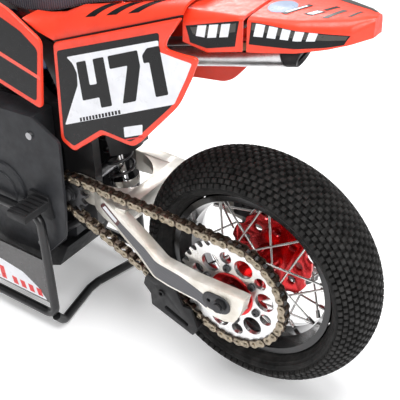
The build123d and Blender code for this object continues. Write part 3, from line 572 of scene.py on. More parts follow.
def carcass(s):
    # crown, two side walls with three raised rings each, and two beads, closed by an inner wall
    reach = math.radians(s["reach"] + 9)
    crown = np.column_stack(crownPoint(s, np.linspace(-reach, reach, 33), s["height"]))
    t = np.linspace(0, 1, 26)[1:]
    top = crown[-1]
    foot = np.array([s["bead"], s["beadY"]])
    wall = top + (foot - top) * t[:, None]
    bulge = np.sin(math.pi * t) * 0.07 * s["crown"]
    ribs = 0.45 * np.exp(-((t[:, None] - np.array([0.3, 0.55, 0.86])) / 0.035) ** 2).sum(1)
    wall[:, 1] += bulge + ribs
    inner = np.array([[foot[0] + 0.2, foot[1] - 2.0]])
    depth = np.linspace(reach * 0.8, -reach * 0.8, 13)
    inside = np.column_stack(crownPoint(s, depth, s["height"] + 3.2))
    left = np.concatenate([crown, wall, inner])
    right = np.concatenate([inner, wall[::-1]]) * (1, -1)
    return lathed(np.concatenate([left, inside, right]), 128, s["centre"])


def knobBlock(length, width, height):
    # a block that narrows upwards, with a small chamfer round its top
    rings = []
    for grow, z in ((1.12, -0.5), (1.0, height - 0.35), (0.82, height)):
        x = length / 2 * grow
        y = width / 2 * grow
        rings.append([(-x, -y, z), (x, -y, z), (x, y, z), (-x, y, z)])
    points = np.array(rings, float).reshape(-1, 3)
    faces = np.concatenate([gridFaces(3, 4, False, True), [[8, 9, 10, 11]], [[3, 2, 1, 0]]])
    return points, faces


def tread(s):
    # knobs stand on the crown in staggered rows; one frame of (forward, across, out) places each
    block, blockFaces = knobBlock(s["knob"][0], s["knob"][1], s["height"])
    reach = math.radians(s["reach"])
    across = np.linspace(-reach, reach, s["knobsAcross"])
    row = np.arange(s["knobsRound"])
    phase, angle = np.meshgrid(row * 2 * math.pi / s["knobsRound"], across, indexing="ij")
    column = np.arange(s["knobsAcross"])[None]
    phase = phase + (column % 2) * math.pi / s["knobsRound"]
    radius, y = crownPoint(s, angle, s["height"])
    outR = np.cos(angle) / s["crown"]
    outY = np.sin(angle) / s["half"]
    size = np.hypot(outR, outY)
    outR, outY = outR / size, outY / size
    radial = np.stack([np.cos(phase), np.zeros_like(phase), np.sin(phase)], -1)
    along = np.stack([-np.sin(phase), np.zeros_like(phase), np.cos(phase)], -1)
    side = np.array([0.0, 1.0, 0.0])
    out = radial * outR[..., None] + side * outY[..., None]
    over = np.cross(out, along)
    centre = radial * radius[..., None] + side * y[..., None]
    centre = centre + np.array([s["centre"][0], 0, s["centre"][1]])
    spots = (centre[..., None, :] + block[:, 0, None] * along[..., None, :] + block[:, 1, None]
             * over[..., None, :]
             + block[:, 2, None] * out[..., None, :]).reshape(-1, 3)
    count = s["knobsRound"] * s["knobsAcross"]
    faces = (blockFaces[None] + (np.arange(count) * len(block))[:, None, None]).reshape(-1, 4)
    return spots, [faces]


for tyreSettings in (rearTyre, frontTyre):
    newPiece(tyreSettings["name"], joined([carcass(tyreSettings), tread(tyreSettings)]), tyreSettings["body"],
             finishes["tyre_rubber"], (tyreSettings["node"],))
print("tyres")


chainSettings = {"pitch": 6.35, "links": 66, "y": 33.0, "rearTeeth": 36, "frontTeeth": 12,
                 "outerPlate": (2.55, 3.2),
                 "innerPlate": (1.62, 2.3), "endR": 2.75, "waist": 0.75, "rollerR": 1.6, "rivetR": 1.15}


def loopPins(s):
    # pins one pitch apart: along the upper run, round the front sprocket, back, and round the rear sprocket
    rearR = s["pitch"] / 2 / math.sin(math.pi / s["rearTeeth"])
    frontR = s["pitch"] / 2 / math.sin(math.pi / s["frontTeeth"])
    gearCentre = (pivotSpot - rearAxle)[[0, 2]] / mm
    gap = math.hypot(*gearCentre)
    slope = math.atan2(gearCentre[1], gearCentre[0])
    spread = math.asin((rearR - frontR) / gap)
    run = gap * math.cos(spread) / s["pitch"]
    frontWrap = (math.pi - 2 * spread) / (2 * math.pi) * s["frontTeeth"]
    rearWrap = (math.pi + 2 * spread) / (2 * math.pi) * s["rearTeeth"]
    step = (2 * run + frontWrap + rearWrap) / s["links"]
    k = np.arange(s["links"]) * step
    up, down = slope - spread, slope + spread
    marks = np.cumsum([0, run, frontWrap, run, rearWrap])
    a = np.array([-math.sin(up), math.cos(up)]) * rearR
    c = gearCentre + np.array([math.sin(down), -math.cos(down)]) * frontR
    upper = a + (k * s["pitch"])[:, None] * np.array([math.cos(up), math.sin(up)])
    frontTurn = up + math.pi / 2 - (k - marks[1]) * 2 * math.pi / s["frontTeeth"]
    front = gearCentre + frontR * np.column_stack([np.cos(frontTurn), np.sin(frontTurn)])
    lower = c - ((k - marks[2]) * s["pitch"])[:, None] * np.array([math.cos(down), math.sin(down)])
    rearTurn = down - math.pi / 2 - (k - marks[3]) * 2 * math.pi / s["rearTeeth"]
    rear = rearR * np.column_stack([np.cos(rearTurn), np.sin(rearTurn)])
    stretch = np.searchsorted(marks, k, side="right") - 1
    return np.select([(stretch == n)[:, None] for n in range(4)], [upper, front, lower, rear])


def linkOutline(s, grow):
    # half height is a round end beyond each pin, and dips between the pins by the waist times a sine squared
    r = s["endR"] * grow
    t = np.linspace(0, math.pi, 15)
    x = s["pitch"] / 2 - (s["pitch"] / 2 + r) * np.cos(t)
    beyond = np.clip(np.maximum(-x, x - s["pitch"]), 0, r)
    high = np.sqrt(np.maximum(r * r - beyond ** 2,
                              0)) - s["waist"] * np.sin(math.pi * np.clip(x / s["pitch"], 0, 1)) ** 2
    return np.concatenate([np.column_stack([x, high]), np.column_stack([x, -high])[::-1][1:-1]])


def linkPlateShape(s, low, high):
    # three rings: back edge, front edge, and a chamfered front face
    outline = linkOutline(s, 1.0)
    face = (outline - (s["pitch"] / 2, 0)) * 0.94 + (s["pitch"] / 2, 0)
    n = len(outline)
    outer = high if abs(high) > abs(low) else low
    base = low if outer == high else high
    edge = outer - 0.14 * np.sign(outer)
    points = np.concatenate([np.column_stack([outline[:, 0], np.full(n, base), outline[:, 1]]),
                             np.column_stack([outline[:, 0], np.full(n, edge), outline[:, 1]]),
                             np.column_stack([face[:, 0], np.full(n, outer), face[:, 1]])])
    half = n // 2
    strip = [[a, a + 1, n - a - 1, (n - a) % n] for a in range(1, half - 1)]
    ends = [[0, 1, n - 1], [half - 1, half, half + 1]]
    caps = [[i + 2 * n for i in f] for f in strip + ends] + [f[::-1] for f in strip + ends]
    return points, [gridFaces(3, n, False, True), *[[f] for f in caps]]


def spool(x, profile, sides):
    # a profile of (radius, y) turned round a pin's own axis at x, with a flat face at either end
    p = np.array(profile)
    turn = np.linspace(0, 2 * math.pi, sides, endpoint=False)
    spots = np.stack([x + p[:, 0, None] * np.cos(turn), p[:, 1, None] + 0 * turn,
                      p[:, 0, None] * np.sin(turn)], -1).reshape(-1, 3)
    first = list(range(sides))[::-1]
    last = list(range((len(p) - 1) * sides, len(p) * sides))
    return spots, [gridFaces(len(p), sides, False, True), [last], [first]]


def pinHead(x, side, s):
    # low dome of a riveted pin
    r = s["rivetR"]
    base = s["outerPlate"][1]
    dome = ((r, 0.0), (r, 0.42), (r * 0.72, 0.72), (0.3, 0.84))
    return spool(x, [(radius, side * (base + rise)) for radius, rise in dome], 10)


def rollerShape(x, s):
    r = s["rollerR"]
    return spool(x, [(r - 0.2, -1.6), (r, -1.4), (r, 1.4), (r - 0.2, 1.6)], 12)


def carried(shape, pins, chosen, s):
    # one link's shape set on each chosen pin, turned towards the next
    points, faces = shape
    here = pins[chosen]
    ahead = pins[(chosen + 1) % len(pins)] - here
    ahead /= np.linalg.norm(ahead, axis=1, keepdims=True)
    x = here[:, None, 0] + points[None, :, 0] * ahead[:, None, 0] - points[None, :, 2] * ahead[:, None, 1]
    z = here[:, None, 1] + points[None, :, 0] * ahead[:, None, 1] + points[None, :, 2] * ahead[:, None, 0]
    y = np.broadcast_to(s["y"] + points[None, :, 1], x.shape)
    spots = np.stack([x, y, z], -1).reshape(-1, 3)
    moved = []
    for group in faces:
        g = np.asarray(group)
        moved.append((g[None] + (np.arange(len(chosen))
                                 * len(points))[:, None, None]).reshape(-1, g.shape[1]))
    return spots, moved


def chainPieces(s):
    pins = loopPins(s)
    odd = np.arange(1, s["links"], 2)
    even = np.arange(0, s["links"], 2)
    low, high = s["outerPlate"]
    outerLink = joined([linkPlateShape(s, low, high), linkPlateShape(s, -high, -low), pinHead(0, 1, s),
                        pinHead(0, -1, s),
                        pinHead(s["pitch"], 1, s), pinHead(s["pitch"], -1, s)])
    low, high = s["innerPlate"]
    innerLink = joined([linkPlateShape(s, low, high), linkPlateShape(s, -high, -low), rollerShape(0, s),
                        rollerShape(s["pitch"], s)])
    plates = newPiece("chain_outer_links", carried(outerLink, pins, odd, s), None, finishes["chain_nickel"],
                      ("chain",))
    rollers = newPiece("chain_rollers", carried(innerLink, pins, even, s), None, chainDark,
                       ("chain",))
    for piece in (plates, rollers):
        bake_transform(piece)


chainPieces(chainSettings)
print("chain")


armTrim = {"outerX": (-20, 50, 66, 86, 100, 109, 113), "outerY": (46.6, 46.6, 43.0, 38.0, 34.5, 31.0, 28.2),
           "film": 0.14, "step": 1.5,
           "strip": [(10.6, 1.6), (9.6, -8.0), (17.4, -4.4), (38.1, -2.8), (49.8, -0.6), (63.6, 8.6),
                     (86.2, 18.2), (104, 24.6), (99, 30.4), (82.5, 23.6), (58.2, 16.6), (47.6, 11.0),
                     (30, 8.6), (15, 3.6)],
           "badge": [(103.2, 25.2), (98.6, 29.8), (82.6, 23.4), (85.6, 18.8)],
           "panel": [(100.4, 25.6), (97.4, 28.4), (85.2, 23.4), (87.2, 20.6)]}


def onArm(x, z, depth):
    return np.column_stack([x, np.interp(x, armTrim["outerX"], armTrim["outerY"]) + depth, z])


def armSticker(name, outline, radius, layer, material):
    # each layer of film lies on the one below it, bent to the arm's outer face
    film = armTrim["film"]
    border = rounded(armTrim[outline], radius)
    shape = slabShape(border, layer * film, (layer + 1) * film, 0, onArm, armTrim["step"])
    newPiece(name, shape, "swingarm", material)


softened("swingarm", 0.9)
armSticker("swingarm_film", "strip", 2.2, 0, carbon)
armSticker("swingarm_badge", "badge", 0.8, 1, inkMaroon)
armSticker("swingarm_badge_panel", "panel", 0.5, 2, inkWhite)
print("swingarm")


panel = {"top": [(127, 136), (31, 175), (42, 159.5), (43.5, 154), (33.5, 153.5), (21, 154), (26, 141)],
         "leftFoot": [(34, 124), (38, 118), (65, 87), (70, 83), (93, 84), (118.5, 63), (129, 68)],
         "rightFoot": [(33, 123), (35, 116.5), (45, 105), (52, 101), (76, 97.5), (93, 90), (118.5, 63),
                       (129, 68)],
         "back": 35.0, "front": 37.0, "bevel": 0.9, "film": 0.12,
         "fieldTop": [(124, 131.6), (46.5, 163), (46.6, 157.5), (47.6, 151.2), (35, 150.0), (25.8, 149.6),
                      (30.2, 139.4)],
         "leftField": [(38.2, 122.2), (41, 118.6), (66.6, 90.2), (71.2, 86.4), (93.8, 87.4), (118, 67.4),
                       (125.8, 71)],
         "rightField": [(38.2, 122.2), (38.4, 117.6), (46.6, 108), (53.2, 104.2), (77.2, 100.6), (94.8, 93),
                        (118, 67.4), (125.8, 71)],
         "white": [(116.5, 129.6), (47, 158.4), (47, 151.6), (35, 150.8), (25, 150.4), (29.4, 139.6),
                   (37.6, 122.0), (123.4, 81.2), (109.6, 112.8), (109.2, 121.0), (112, 126.6)],
         "tag": [(75.6, 95.0), (61.2, 101.4), (61.6, 94.6), (75.4, 88.0)],
         "tagLine": [(75.4, 86.8), (61.6, 93.4), (61.6, 92.6), (75.4, 86.0)]}
digitShapes = {
    "4": [(0.0, 1.0), (0.34, 1.0), (0.34, 0.5), (0.6, 0.5), (0.6, 1.0), (0.98, 1.0), (0.98, 0.0),
          (0.6, 0.0), (0.6, 0.22), (0.0, 0.22)],
    "7": [(0.0, 1.0), (1.0, 1.0), (1.0, 0.68), (0.66, 0.0), (0.22, 0.0), (0.6, 0.74), (0.0, 0.74)],
    "1": [(0.0, 0.72), (0.0, 0.88), (0.3, 1.0), (0.95, 1.0), (0.95, 0.0), (0.3, 0.0), (0.3, 0.72)]}
number = {"digits": (("4", 0.0, 0.35), ("7", 0.395, 0.35), ("1", 0.79, 0.21)),
          "front": ((105.6, 96.6), (109.0, 128.2)), "rear": ((40.6, 127.4), (46.0, 155.6)), "small": 13}


def onNumber(points, reverse):
    # unit coordinates laid between the front and rear edges of the number, as read from outside
    s = number
    u = 1 - points[:, 0] if reverse else points[:, 0]
    v = points[:, 1]
    front = np.array(s["front"][0]) + v[:, None] * np.subtract(s["front"][1], s["front"][0])
    rear = np.array(s["rear"][0]) + v[:, None] * np.subtract(s["rear"][1], s["rear"][0])
    return front + (rear - front) * u[:, None]


def sidePanel(name, node, lay, foot, fieldFoot):
    # red shell, black field, white ground and the number, each a little further out than the last
    s = panel
    film, face = s["film"], s["front"]
    reverse = lay is rightSide
    shell = slabShape(rounded(s["top"] + s[foot], 3.4), s["back"], face, s["bevel"], lay)
    newPiece(name, shell, "chassis", finishes["red_gloss"], (node,))
    field = slabShape(rounded(s["fieldTop"] + s[fieldFoot], 2.2), face - 0.02, face + film, 0, lay)
    newPiece(name + "_field", field, "chassis", inkBlack)
    ground = slabShape(rounded(s["white"], 1.4), face + film * 0.5, face + 2 * film, 0, lay)
    newPiece(name + "_ground", ground, "chassis", inkWhite)
    marks = []
    for kind, start, width in number["digits"]:
        shape = np.array(digitShapes[kind]) * (width, 1) + (start, 0)
        outline = rounded(onNumber(shape, reverse), 1.0, 4)
        marks.append(slabShape(outline, face + film, face + 3 * film, 0, lay))
    for k in range(number["small"]):
        low = np.array([(0, -0.2), (0.024, -0.2), (0.024, -0.12), (0, -0.12)]) + (0.04 * k - 0.08, 0)
        marks.append(slabShape(onNumber(low, reverse), face + film, face + 3 * film, 0, lay))
    newPiece(name + "_number", joined(marks), "chassis", inkBlack)
    if not reverse:
        tag = slabShape(rounded(s["tag"], 0.8), face, face + 2 * film, 0, lay)
        newPiece(name + "_tag", tag, "chassis", inkWhite)
        line = slabShape(s["tagLine"], face, face + 2 * film, 0, lay)
        newPiece(name + "_tag_line", line, "chassis", inkRed)


sidePanel("left_panel_shell", "left_side_panel", leftSide, "leftFoot", "leftField")
sidePanel("right_panel_shell", "right_side_panel", rightSide, "rightFoot", "rightField")

upper = {"x": (33, 71, 112, 127, 140, 152), "seam": (174.0, 158.4, 142.2, 136.2, 139.4, 145.2),
         "seamY": (33.8, 34.4, 34.7, 34.9, 35.5, 35.5), "top": (180.6, 169.6, 158.6, 150.6, 147.2, 145.6),
         "topY": 21.9, "wall": 1.4, "stripes": (104, 88, 72), "stripe": 7.5,
         "seamShadeLine": ((126.5, 35.7, 136.7), (31.8, 34.9, 175.4), 0.55)}


def upperPoint(x, v, side, lift=0.0):
    # v runs from 0 at the seam to 1 at the seat along a quarter ellipse
    s = upper
    seam, seamY, top = [np.interp(x, s["x"], s[key]) for key in ("seam", "seamY", "top")]
    c = np.cos(v * math.pi / 2)
    n = np.sin(v * math.pi / 2)
    y = s["topY"] + (seamY - s["topY"]) * c ** 0.85 + lift * c
    z = seam + (top - seam) * n ** 1.1 + lift * n
    return np.stack([x, side * y, z], -1)


def upperPanels(s):
    for side, word in ((1, "left"), (-1, "right")):
        x = np.linspace(151.6, 33.4, 48)[::side]
        gx, gv = np.meshgrid(x, np.linspace(0, 1, 14), indexing="ij")
        shell = upperPoint(gx, gv, side).reshape(-1, 3), [gridFaces(48, 14)]
        newPiece(word + "_upper_shell", shell, "chassis", finishes["red_gloss"],
                 ("upper_panels",), wall=s["wall"])
        marks = []
        for start in s["stripes"]:
            a, v = np.meshgrid(np.linspace(0, 1, 6), np.linspace(0.5, 0.98, 12), indexing="ij")
            gx = start - a * s["stripe"] - (v - 0.5) * 26
            marks.append(closedSheet(upperPoint(gx, v, side, 0.14).reshape(-1, 3),
                                     upperPoint(gx, v, side, 0.0).reshape(-1, 3), (6, 12)))
        newPiece(word + "_upper_stripes", joined(marks), "chassis", inkBlack)
        # a thin black tube laid along the step between the side panel and the upper: painted shade in the gap
        # between the two parts
        front, rear, r = s["seamShadeLine"]
        line = np.linspace(front, rear, 12) * (1, side, 1)
        newPiece(word + "_seam_shade_strip", tubeAlong(line, r, 8), "chassis", inkBlack)


def closedSheet(top, low, steps):
    # two grids of the same size joined round their rims
    rows, cols = steps
    n = rows * cols
    faces = gridFaces(rows, cols)
    rim = np.concatenate([np.arange(cols), np.arange(1, rows) * cols + cols - 1,
                          (rows - 1) * cols + np.arange(cols - 2, -1, -1),
                          np.arange(rows - 2, 0, -1) * cols])
    after = np.roll(rim, -1)
    walls = np.stack([rim, after, after + n, rim + n], -1)
    return np.concatenate([top, low]), [faces, faces[:, ::-1] + n, walls]


upperPanels(upper)

shrouds = {"outline": [(134, 136), (158, 150), (206, 164), (247, 182), (286, 168), (298, 142), (272, 100),
                       (244, 78), (214, 88), (180, 98), (140, 88)],
           "back": 37.8, "front": 40.2, "bevel": 0.9, "film": 0.12,
           "black": [(137, 130), (150, 139), (206, 158), (246, 175), (280, 163), (291, 142), (268, 104),
                     (243, 83), (215, 92), (181, 102), (143, 93)],
           "line": [(137.5, 112), (200, 128), (286, 150), (287.5, 147), (200, 124.6), (137.5, 109.4)]}


def shroudPieces(s):
    face, film = s["front"], s["film"]
    shells = []
    for lay, word in ((leftSide, "left"), (rightSide, "right")):
        shells.append(slabShape(rounded(s["outline"], 4), s["back"], face, s["bevel"], lay))
        black = slabShape(rounded(s["black"], 3), face - 0.02, face + film, 0, lay)
        newPiece("shroud_film_" + word, black, "chassis", inkBlack)
        line = slabShape(rounded(s["line"], 1), face, face + 2 * film, 0, lay)
        newPiece("shroud_line_" + word, line, "chassis", pinkEdge)
    newPiece("shroud_shells", joined(shells), "chassis", finishes["red_gloss"], ("shrouds",))


shroudPieces(shrouds)
print("side panels")


tail = {"x": (-63.3, -55, -45, -30, -10, 2, 20, 37),
        "half": (4.5, 14, 18.5, 24, 26.2, 29, 30, 30),
        "flat": (3, 8, 12, 18.5, 22.5, 24.4, 25, 25),
        "ridge": (185.5, 184.8, 183.8, 182.2, 180.4, 179.8, 177.6, 175),
        "shoulder": (181, 178.2, 178.2, 178.2, 178.2, 177.6, 172.5, 167),
        "edge": (175.6, 173.2, 169.8, 166, 161.8, 160.4, 155.6, 158),
        "crown": 0.8, "marks": (0.42, 0.6), "wall": 1.6}


def tailPoint(x, v, lift=0.0):
    # across the tail: v runs from -1 at the left hem over 0 at the middle to 1 at the right hem
    s = tail
    half, flat, ridge, shoulder, edge = [np.interp(x, s["x"], s[key])
                                         for key in ("half", "flat", "ridge", "shoulder", "edge")]
    q = np.abs(v)
    first, second = s["marks"]
    a = np.clip(q / first, 0, 1)
    b = np.clip((q - first) / (second - first), 0, 1)
    c = np.clip((q - second) / (1 - second), 0, 1)
    y = flat * a + (half - 0.4 - flat) * np.sin(b * math.pi / 2) ** 0.9 + 0.4 * c
    roll = (ridge - shoulder) * (1 - np.cos(b * math.pi / 2)) ** 0.8
    z = ridge + s["crown"] * (1 - a ** 2) - roll + (edge - shoulder) * c
    outwards = np.clip((q - first * 0.9) / (second - first * 0.9), 0, 1)
    y = y + lift * np.sin(outwards * math.pi / 2)
    z = z + lift * np.cos(outwards * math.pi / 2)
    return np.stack([x, -np.sign(v) * y, z], -1)


def tailShell(name, x0, x1, node):
    v = np.concatenate([np.linspace(-1, -0.62, 8), np.linspace(-0.6, -0.42, 8),
                        np.linspace(-0.38, 0.38, 13), np.linspace(0.42, 0.6, 8),
                        np.linspace(0.62, 1, 8)])
    x = np.linspace(x0, x1, 40)
    gx, gv = np.meshgrid(x, v, indexing="ij")
    faces = [gridFaces(len(x), len(v))]
    if x1 < -50:
        faces.append([list(range(len(x) * len(v) - 1, (len(x) - 1) * len(v) - 1, -1))])
    shape = tailPoint(gx, gv).reshape(-1, 3), faces
    return newPiece(name, shape, "chassis", finishes["red_gloss"], (node,), wall=tail["wall"],
                    sharp=28)


def tailPatch(corners, lift, steps=(24, 8), disc=False):
    # a sticker: four (x, v) corners filled evenly, or the ellipse that touches their sides
    c = np.array(corners, float)
    a, b = np.meshgrid(np.linspace(-1, 1, steps[0]), np.linspace(-1, 1, steps[1]), indexing="ij")
    if disc:
        a, b = a * np.sqrt(1 - b ** 2 / 2), b * np.sqrt(1 - a ** 2 / 2)
    a, b = (a + 1) / 2, (b + 1) / 2
    g = [(1 - a) * (1 - b) * c[0, n] + a * (1 - b) * c[1, n] + a * b * c[2, n] + (1 - a) * b * c[3, n]
         for n in (0, 1)]
    return closedSheet(tailPoint(g[0], g[1], lift).reshape(-1, 3),
                       tailPoint(g[0], g[1], lift - 0.13).reshape(-1, 3), steps)


tailShell("tail_front_shell", 36, -0.8, "tail_panel")
tailShell("tail_rear_shell", -3.2, -63.2, "rear_fender")
tailMarks = {"dark": ([(34, 0.62), (1, 0.6), (3, 0.93), (31, 0.95)],
                      [(-5.5, 0.6), (-55, 0.61), (-52.4, 0.95), (-4.5, 0.89)]), "darkLift": 0.12,
             "pale": ([(31, 0.66), (2.5, 0.63), (3, 0.74), (29, 0.78)],
                      [(-6, 0.61), (-54, 0.63), (-53, 0.78), (-5.5, 0.7)]), "paleLift": 0.2,
             "blocks": (26, 18.6, 11.2, -8, -15.2, -22.4, -29.4, -36), "blockLift": 0.28,
             "width": 5.6, "shrink": 0.2, "lean": 1.2, "depth": 0.17, "frontTop": 0.63, "rearTop": 0.61}


def tailSide(s, side, word):
    # dark stripes, a paler sheen on them, and white blocks that get narrower towards the rear
    def onSide(corners):
        return [(x, side * v) for x, v in corners]

    dark = [tailPatch(onSide(c), s["darkLift"]) for c in s["dark"]]
    newPiece("tail_stripes_" + word, joined(dark), "chassis", inkBlack)
    pale = [tailPatch(onSide(c), s["paleLift"]) for c in s["pale"]]
    newPiece("tail_sheen_" + word, joined(pale), "chassis", inkGrey)
    blocks = []
    for k, start in enumerate(s["blocks"]):
        top = s["frontTop"] if start > 0 else s["rearTop"]
        end = start - (s["width"] - s["shrink"] * k)
        foot = top + s["depth"]
        corners = [(start, top), (end, top), (end + s["lean"], foot), (start + s["lean"], foot)]
        blocks.append(tailPatch(onSide(corners), s["blockLift"], (6, 6)))
    newPiece("tail_blocks_" + word, joined(blocks), "chassis", inkWhite)


tailSide(tailMarks, -1, "left")
tailSide(tailMarks, 1, "right")
tags = {"tail_disc": ([(-5, -0.3), (-20, -0.3), (-20, 0.02), (-5, 0.02)], inkBlue, 0.14),
        "tail_tag_1": ([(-16, -0.3), (-19, -0.32), (-26.5, -0.02), (-23.5, 0.0)], inkBlack, 0.28),
        "tail_tag_1_pale": ([(-17.2, -0.27), (-18.6, -0.28), (-24.8, -0.06), (-23.4, -0.05)], inkWhite, 0.4),
        "tail_tag_2": ([(-27, -0.26), (-32, -0.3), (-37, -0.16), (-32, -0.12)], inkBlack, 0.14),
        "tail_tag_2_pale": ([(-28.6, -0.25), (-32.2, -0.27), (-35.4, -0.17), (-31.8, -0.15)], inkWhite, 0.28),
        "tail_tag_3": ([(-34, -0.1), (-36.5, -0.12), (-40.5, 0.06), (-38, 0.08)], inkBlack, 0.14),
        "tail_tag_4": ([(-38, -0.36), (-41, -0.38), (-46.5, -0.04), (-43.5, -0.02)], inkGrey, 0.14),
        "tail_tag_5": ([(-49.5, -0.3), (-51.5, -0.3), (-54.5, 0.02), (-52.5, 0.02)], inkGrey, 0.14),
        "tail_far_stripe": ([(-20, 0.34), (-60, 0.3), (-60, 0.5), (-20, 0.42)], inkGrey, 0.14)}
for word, (corners, ink, lift) in tags.items():
    disc = word == "tail_disc"
    patch = tailPatch(corners, lift, (16, 16) if disc else (24, 8), disc)
    newPiece(word, patch, "chassis", ink)
print("tail")


seatSettings = {"x": (34, 50, 70, 84, 106, 120, 140, 165, 176, 205, 228, 237),
                "top": (182.5, 182.6, 179.8, 177.4, 173.4, 171.0, 167.8, 164.2, 164.8, 168.6, 178.4, 184.0),
                "under": (178.2, 174, 169.5, 166, 160, 154.4, 146, 141.0, 140.4, 153, 168, 177.5),
                "half": (15, 19, 20.4, 20.8, 21, 21, 21, 21, 21, 20.6, 17, 12)}


def seatShape(s):
    # cross-sections along X: a flat base and a crowned top whose edges roll over
    x = np.concatenate([[34.0], np.linspace(34.6, 236.2, 60), [236.8]])
    half = np.interp(x, s["x"], s["half"])
    half[[0, -1]] *= 0.75
    top = smoothed(np.interp(x, s["x"], s["top"]))
    under = smoothed(np.interp(x, s["x"], s["under"]))
    turn = np.linspace(0, 2 * math.pi, 48, endpoint=False)
    c, n = np.cos(turn), np.sin(turn)
    y = half[:, None] * np.sign(c) * np.abs(c) ** np.where(n > 0, 0.55, 0.16)
    rise = np.where(n > 0, np.abs(n) ** 0.72, -np.abs(n) ** 0.3)
    middle = under + (top - under) * 0.42
    z = np.where(rise > 0, middle[:, None] + rise * (top - middle)[:, None],
                 middle[:, None] + rise * (middle - under)[:, None])
    gx = np.broadcast_to(x[:, None], y.shape)
    last = (len(x) - 1) * 48
    caps = [list(range(48))[::-1], [last + k for k in range(48)]]
    return np.stack([gx, y, z], -1).reshape(-1, 3), [gridFaces(len(x), 48, False, True), caps]


def smoothed(values, rounds=6):
    v = values.copy()
    for _ in range(rounds):
        v[1:-1] = 0.25 * v[:-2] + 0.5 * v[1:-1] + 0.25 * v[2:]
    return v


seatPiece = newPiece("seat_cushion", seatShape(seatSettings), "chassis", finishes["seat_cover"],
                     ("seat",), sharp=60)
print("seat")


can = {"front": (92, -26, 114.5), "slope": -0.266, "r": 8.7, "window": (31, 9, 18, 66),
       "inside": (29, 11, 26, 58), "tip": (-9.5, 6.0), "bore": 5.6, "endFrom": 2, "boreDepth": 7}


def canSpot(s, x, r, turn):
    # a point r away from the can's own sloping axis, turned round it from +Y upwards
    x0, y0, z0 = s["front"]
    long = math.hypot(1, s["slope"])
    up = r * np.sin(turn)
    z = z0 + (x - x0) * s["slope"] + up / long
    return np.stack((x - up * s["slope"] / long, y0 + r * np.cos(turn), z), -1)


def canPatch(limits, lift):
    # x from first to second limit along the can, and degrees round it counted up from +Y
    x0, x1, low, high = limits
    x, turn = np.meshgrid(np.linspace(x0, x1, 14), np.radians(np.linspace(low, high, 12)), indexing="ij")
    top = canSpot(can, x, can["r"] + lift, turn).reshape(-1, 3)
    under = canSpot(can, x, can["r"] + lift - 0.1, turn).reshape(-1, 3)
    return closedSheet(top, under, (14, 12))


def canEnd(s):
    # black end piece: rings along the can, the last one cut at a slant, then inwards and back to a closed bore
    sides = 40
    turn = np.linspace(0, 2 * math.pi, sides, endpoint=False)
    slant = s["tip"][0] - s["tip"][1] * np.sin(turn)
    start = s["endFrom"] + 0 * turn
    floor = slant + s["boreDepth"]
    rings = ((start, s["r"] - 0.5), (start - 0.5, s["r"]), (slant, s["r"]), (slant - 0.4, s["r"] - 0.6),
             (slant - 0.2, s["bore"]), (floor, s["bore"]), (floor, 0.3))
    rows = [canSpot(s, x, r, turn) for x, r in rings]
    last = (len(rows) - 1) * sides
    caps = [list(range(sides)), list(range(last, last + sides))[::-1]]
    return np.concatenate(rows), [gridFaces(len(rows), sides, False, True), caps]


newPiece("muffler_end", canEnd(can), "chassis", finishes["black_plastic"], ("muffler_cap",))
newPiece("muffler_window_border", canPatch(can["window"], 0.1), "chassis", inkBlack)
newPiece("muffler_window", canPatch(can["inside"], 0.2), "chassis", inkGold)


cards = {"face": 50.8, "film": 0.1,
         "white": [(146.4, -64.6), (224, -64.6), (214, -50), (190, -45), (168, -48), (154, -56)],
         "bars": (150, 158, 166, 174), "barTop": -57, "word": (186, 193, 200, 207), "wordTop": -52,
         "low": -63, "width": 4.6, "lean": 1.6}


def cardPieces(s, lay, word):
    # a white ground with two rows of leaning bars
    face, film = s["face"], s["film"]
    ground = slabShape(rounded(s["white"], 1.5), face, face + film, 0, lay)
    newPiece("card_ground_" + word, ground, "stand", inkWhite)
    marks = []
    for row, top in ((s["bars"], s["barTop"]), (s["word"], s["wordTop"])):
        for x in row:
            right = x + s["width"]
            outline = [(x, s["low"]), (right, s["low"]), (right + s["lean"], top), (x + s["lean"], top)]
            marks.append(slabShape(outline, face + film * 0.5, face + 2 * film, 0, lay))
    newPiece("card_marks_" + word, joined(marks), "stand", inkRed)


cardPieces(cards, leftSide, "left")
cardPieces(cards, rightSide, "right")
print("muffler and stand cards")


edgeWidths = {"left_cover": 3.0, "right_cover": 3.0, "chain_guide": 0.35, "skid_plate": 0.8, "rear_hub": 0.3,
              "axle_blocks": 0.3, "number_plate": 1.0, "mud_flap": 0.5, "footpegs": 0.4}
for node, width in edgeWidths.items():
    softened(node, width)
print("rounded shells")


studio = {"floor": 6.0, "floorGlow": 0.22, "world": 0.34,
          "camera": (-237.6, 399.8, 372.3), "azimuth": 214.72, "elevation": 34.72, "roll": -0.35,
          "lens": 83.45, "shift": -0.025}
lights = (("above", (-0.25, 0.15, 1.5), (-0.1, 0, 0.1), 1.1, 21),   # name, place, aim, size in metres, watts
          ("side", (-1.1, 0.5, 0.75), (-0.15, 0, 0.12), 0.6, 7),
          ("rim", (0.7, -0.9, 0.9), (-0.1, 0, 0.15), 0.6, 7))


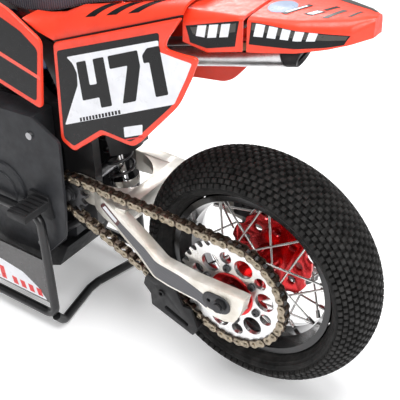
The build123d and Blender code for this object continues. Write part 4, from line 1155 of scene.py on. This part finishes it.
def floorPlane():
    half = studio["floor"]
    mesh = bpy.data.meshes.new("floor")
    mesh.from_pydata([(-half, -half, 0), (half, -half, 0), (half, half, 0), (-half, half, 0)], [],
                     [(0, 1, 2, 3)])
    floor = bpy.data.objects.new("floor", mesh)
    bpy.context.scene.collection.objects.link(floor)
    f = Finish("paleFloor", (0.93, 0.93, 0.94), 0.55)
    f.polish(f.noise(60, 3), 0.5, 0.62)
    f.shader.inputs["Emission Color"].default_value = (1, 1, 1, 1)
    f.shader.inputs["Emission Strength"].default_value = studio["floorGlow"]
    mesh.materials.append(f.material)


def areaLight(name, place, aim, size, power):
    data = bpy.data.lights.new(name, "AREA")
    data.shape = "DISK"
    data.size = size
    data.energy = power
    lamp = bpy.data.objects.new(name, data)
    bpy.context.scene.collection.objects.link(lamp)
    lamp.location = place
    lamp.rotation_euler = (Vector(aim) - Vector(place)).to_track_quat("-Z", "Y").to_euler()


def cameraView():
    a = math.radians(studio["azimuth"])
    e = math.radians(studio["elevation"])
    roll = math.radians(studio["roll"])
    back = Vector((math.sin(a) * math.cos(e), -math.cos(a) * math.cos(e), math.sin(e)))
    right = Vector((math.cos(a), math.sin(a), 0))
    up = back.cross(right)
    turned = math.cos(roll) * right + math.sin(roll) * up
    over = math.cos(roll) * up - math.sin(roll) * right
    data = bpy.data.cameras.new("view")
    data.sensor_width = 36
    data.lens = studio["lens"]
    data.shift_x = studio["shift"]
    data.clip_start = 0.01
    camera = bpy.data.objects.new("view", data)
    bpy.context.scene.collection.objects.link(camera)
    place = Vector(rearAxle + np.array(studio["camera"]) * mm)
    camera.matrix_world = Matrix.Translation(place) @ Matrix((turned, over, back)).transposed().to_4x4()
    bpy.context.scene.camera = camera


floorPlane()
world = bpy.data.worlds.new("studio")
bpy.context.scene.world = world
world.use_nodes = True
world.node_tree.nodes["Background"].inputs["Color"].default_value = (1, 1, 1, 1)
world.node_tree.nodes["Background"].inputs["Strength"].default_value = studio["world"]
bpy.context.scene.view_settings.view_transform = "Standard"
for light in lights:
    areaLight(*light)
cameraView()
print("studio")
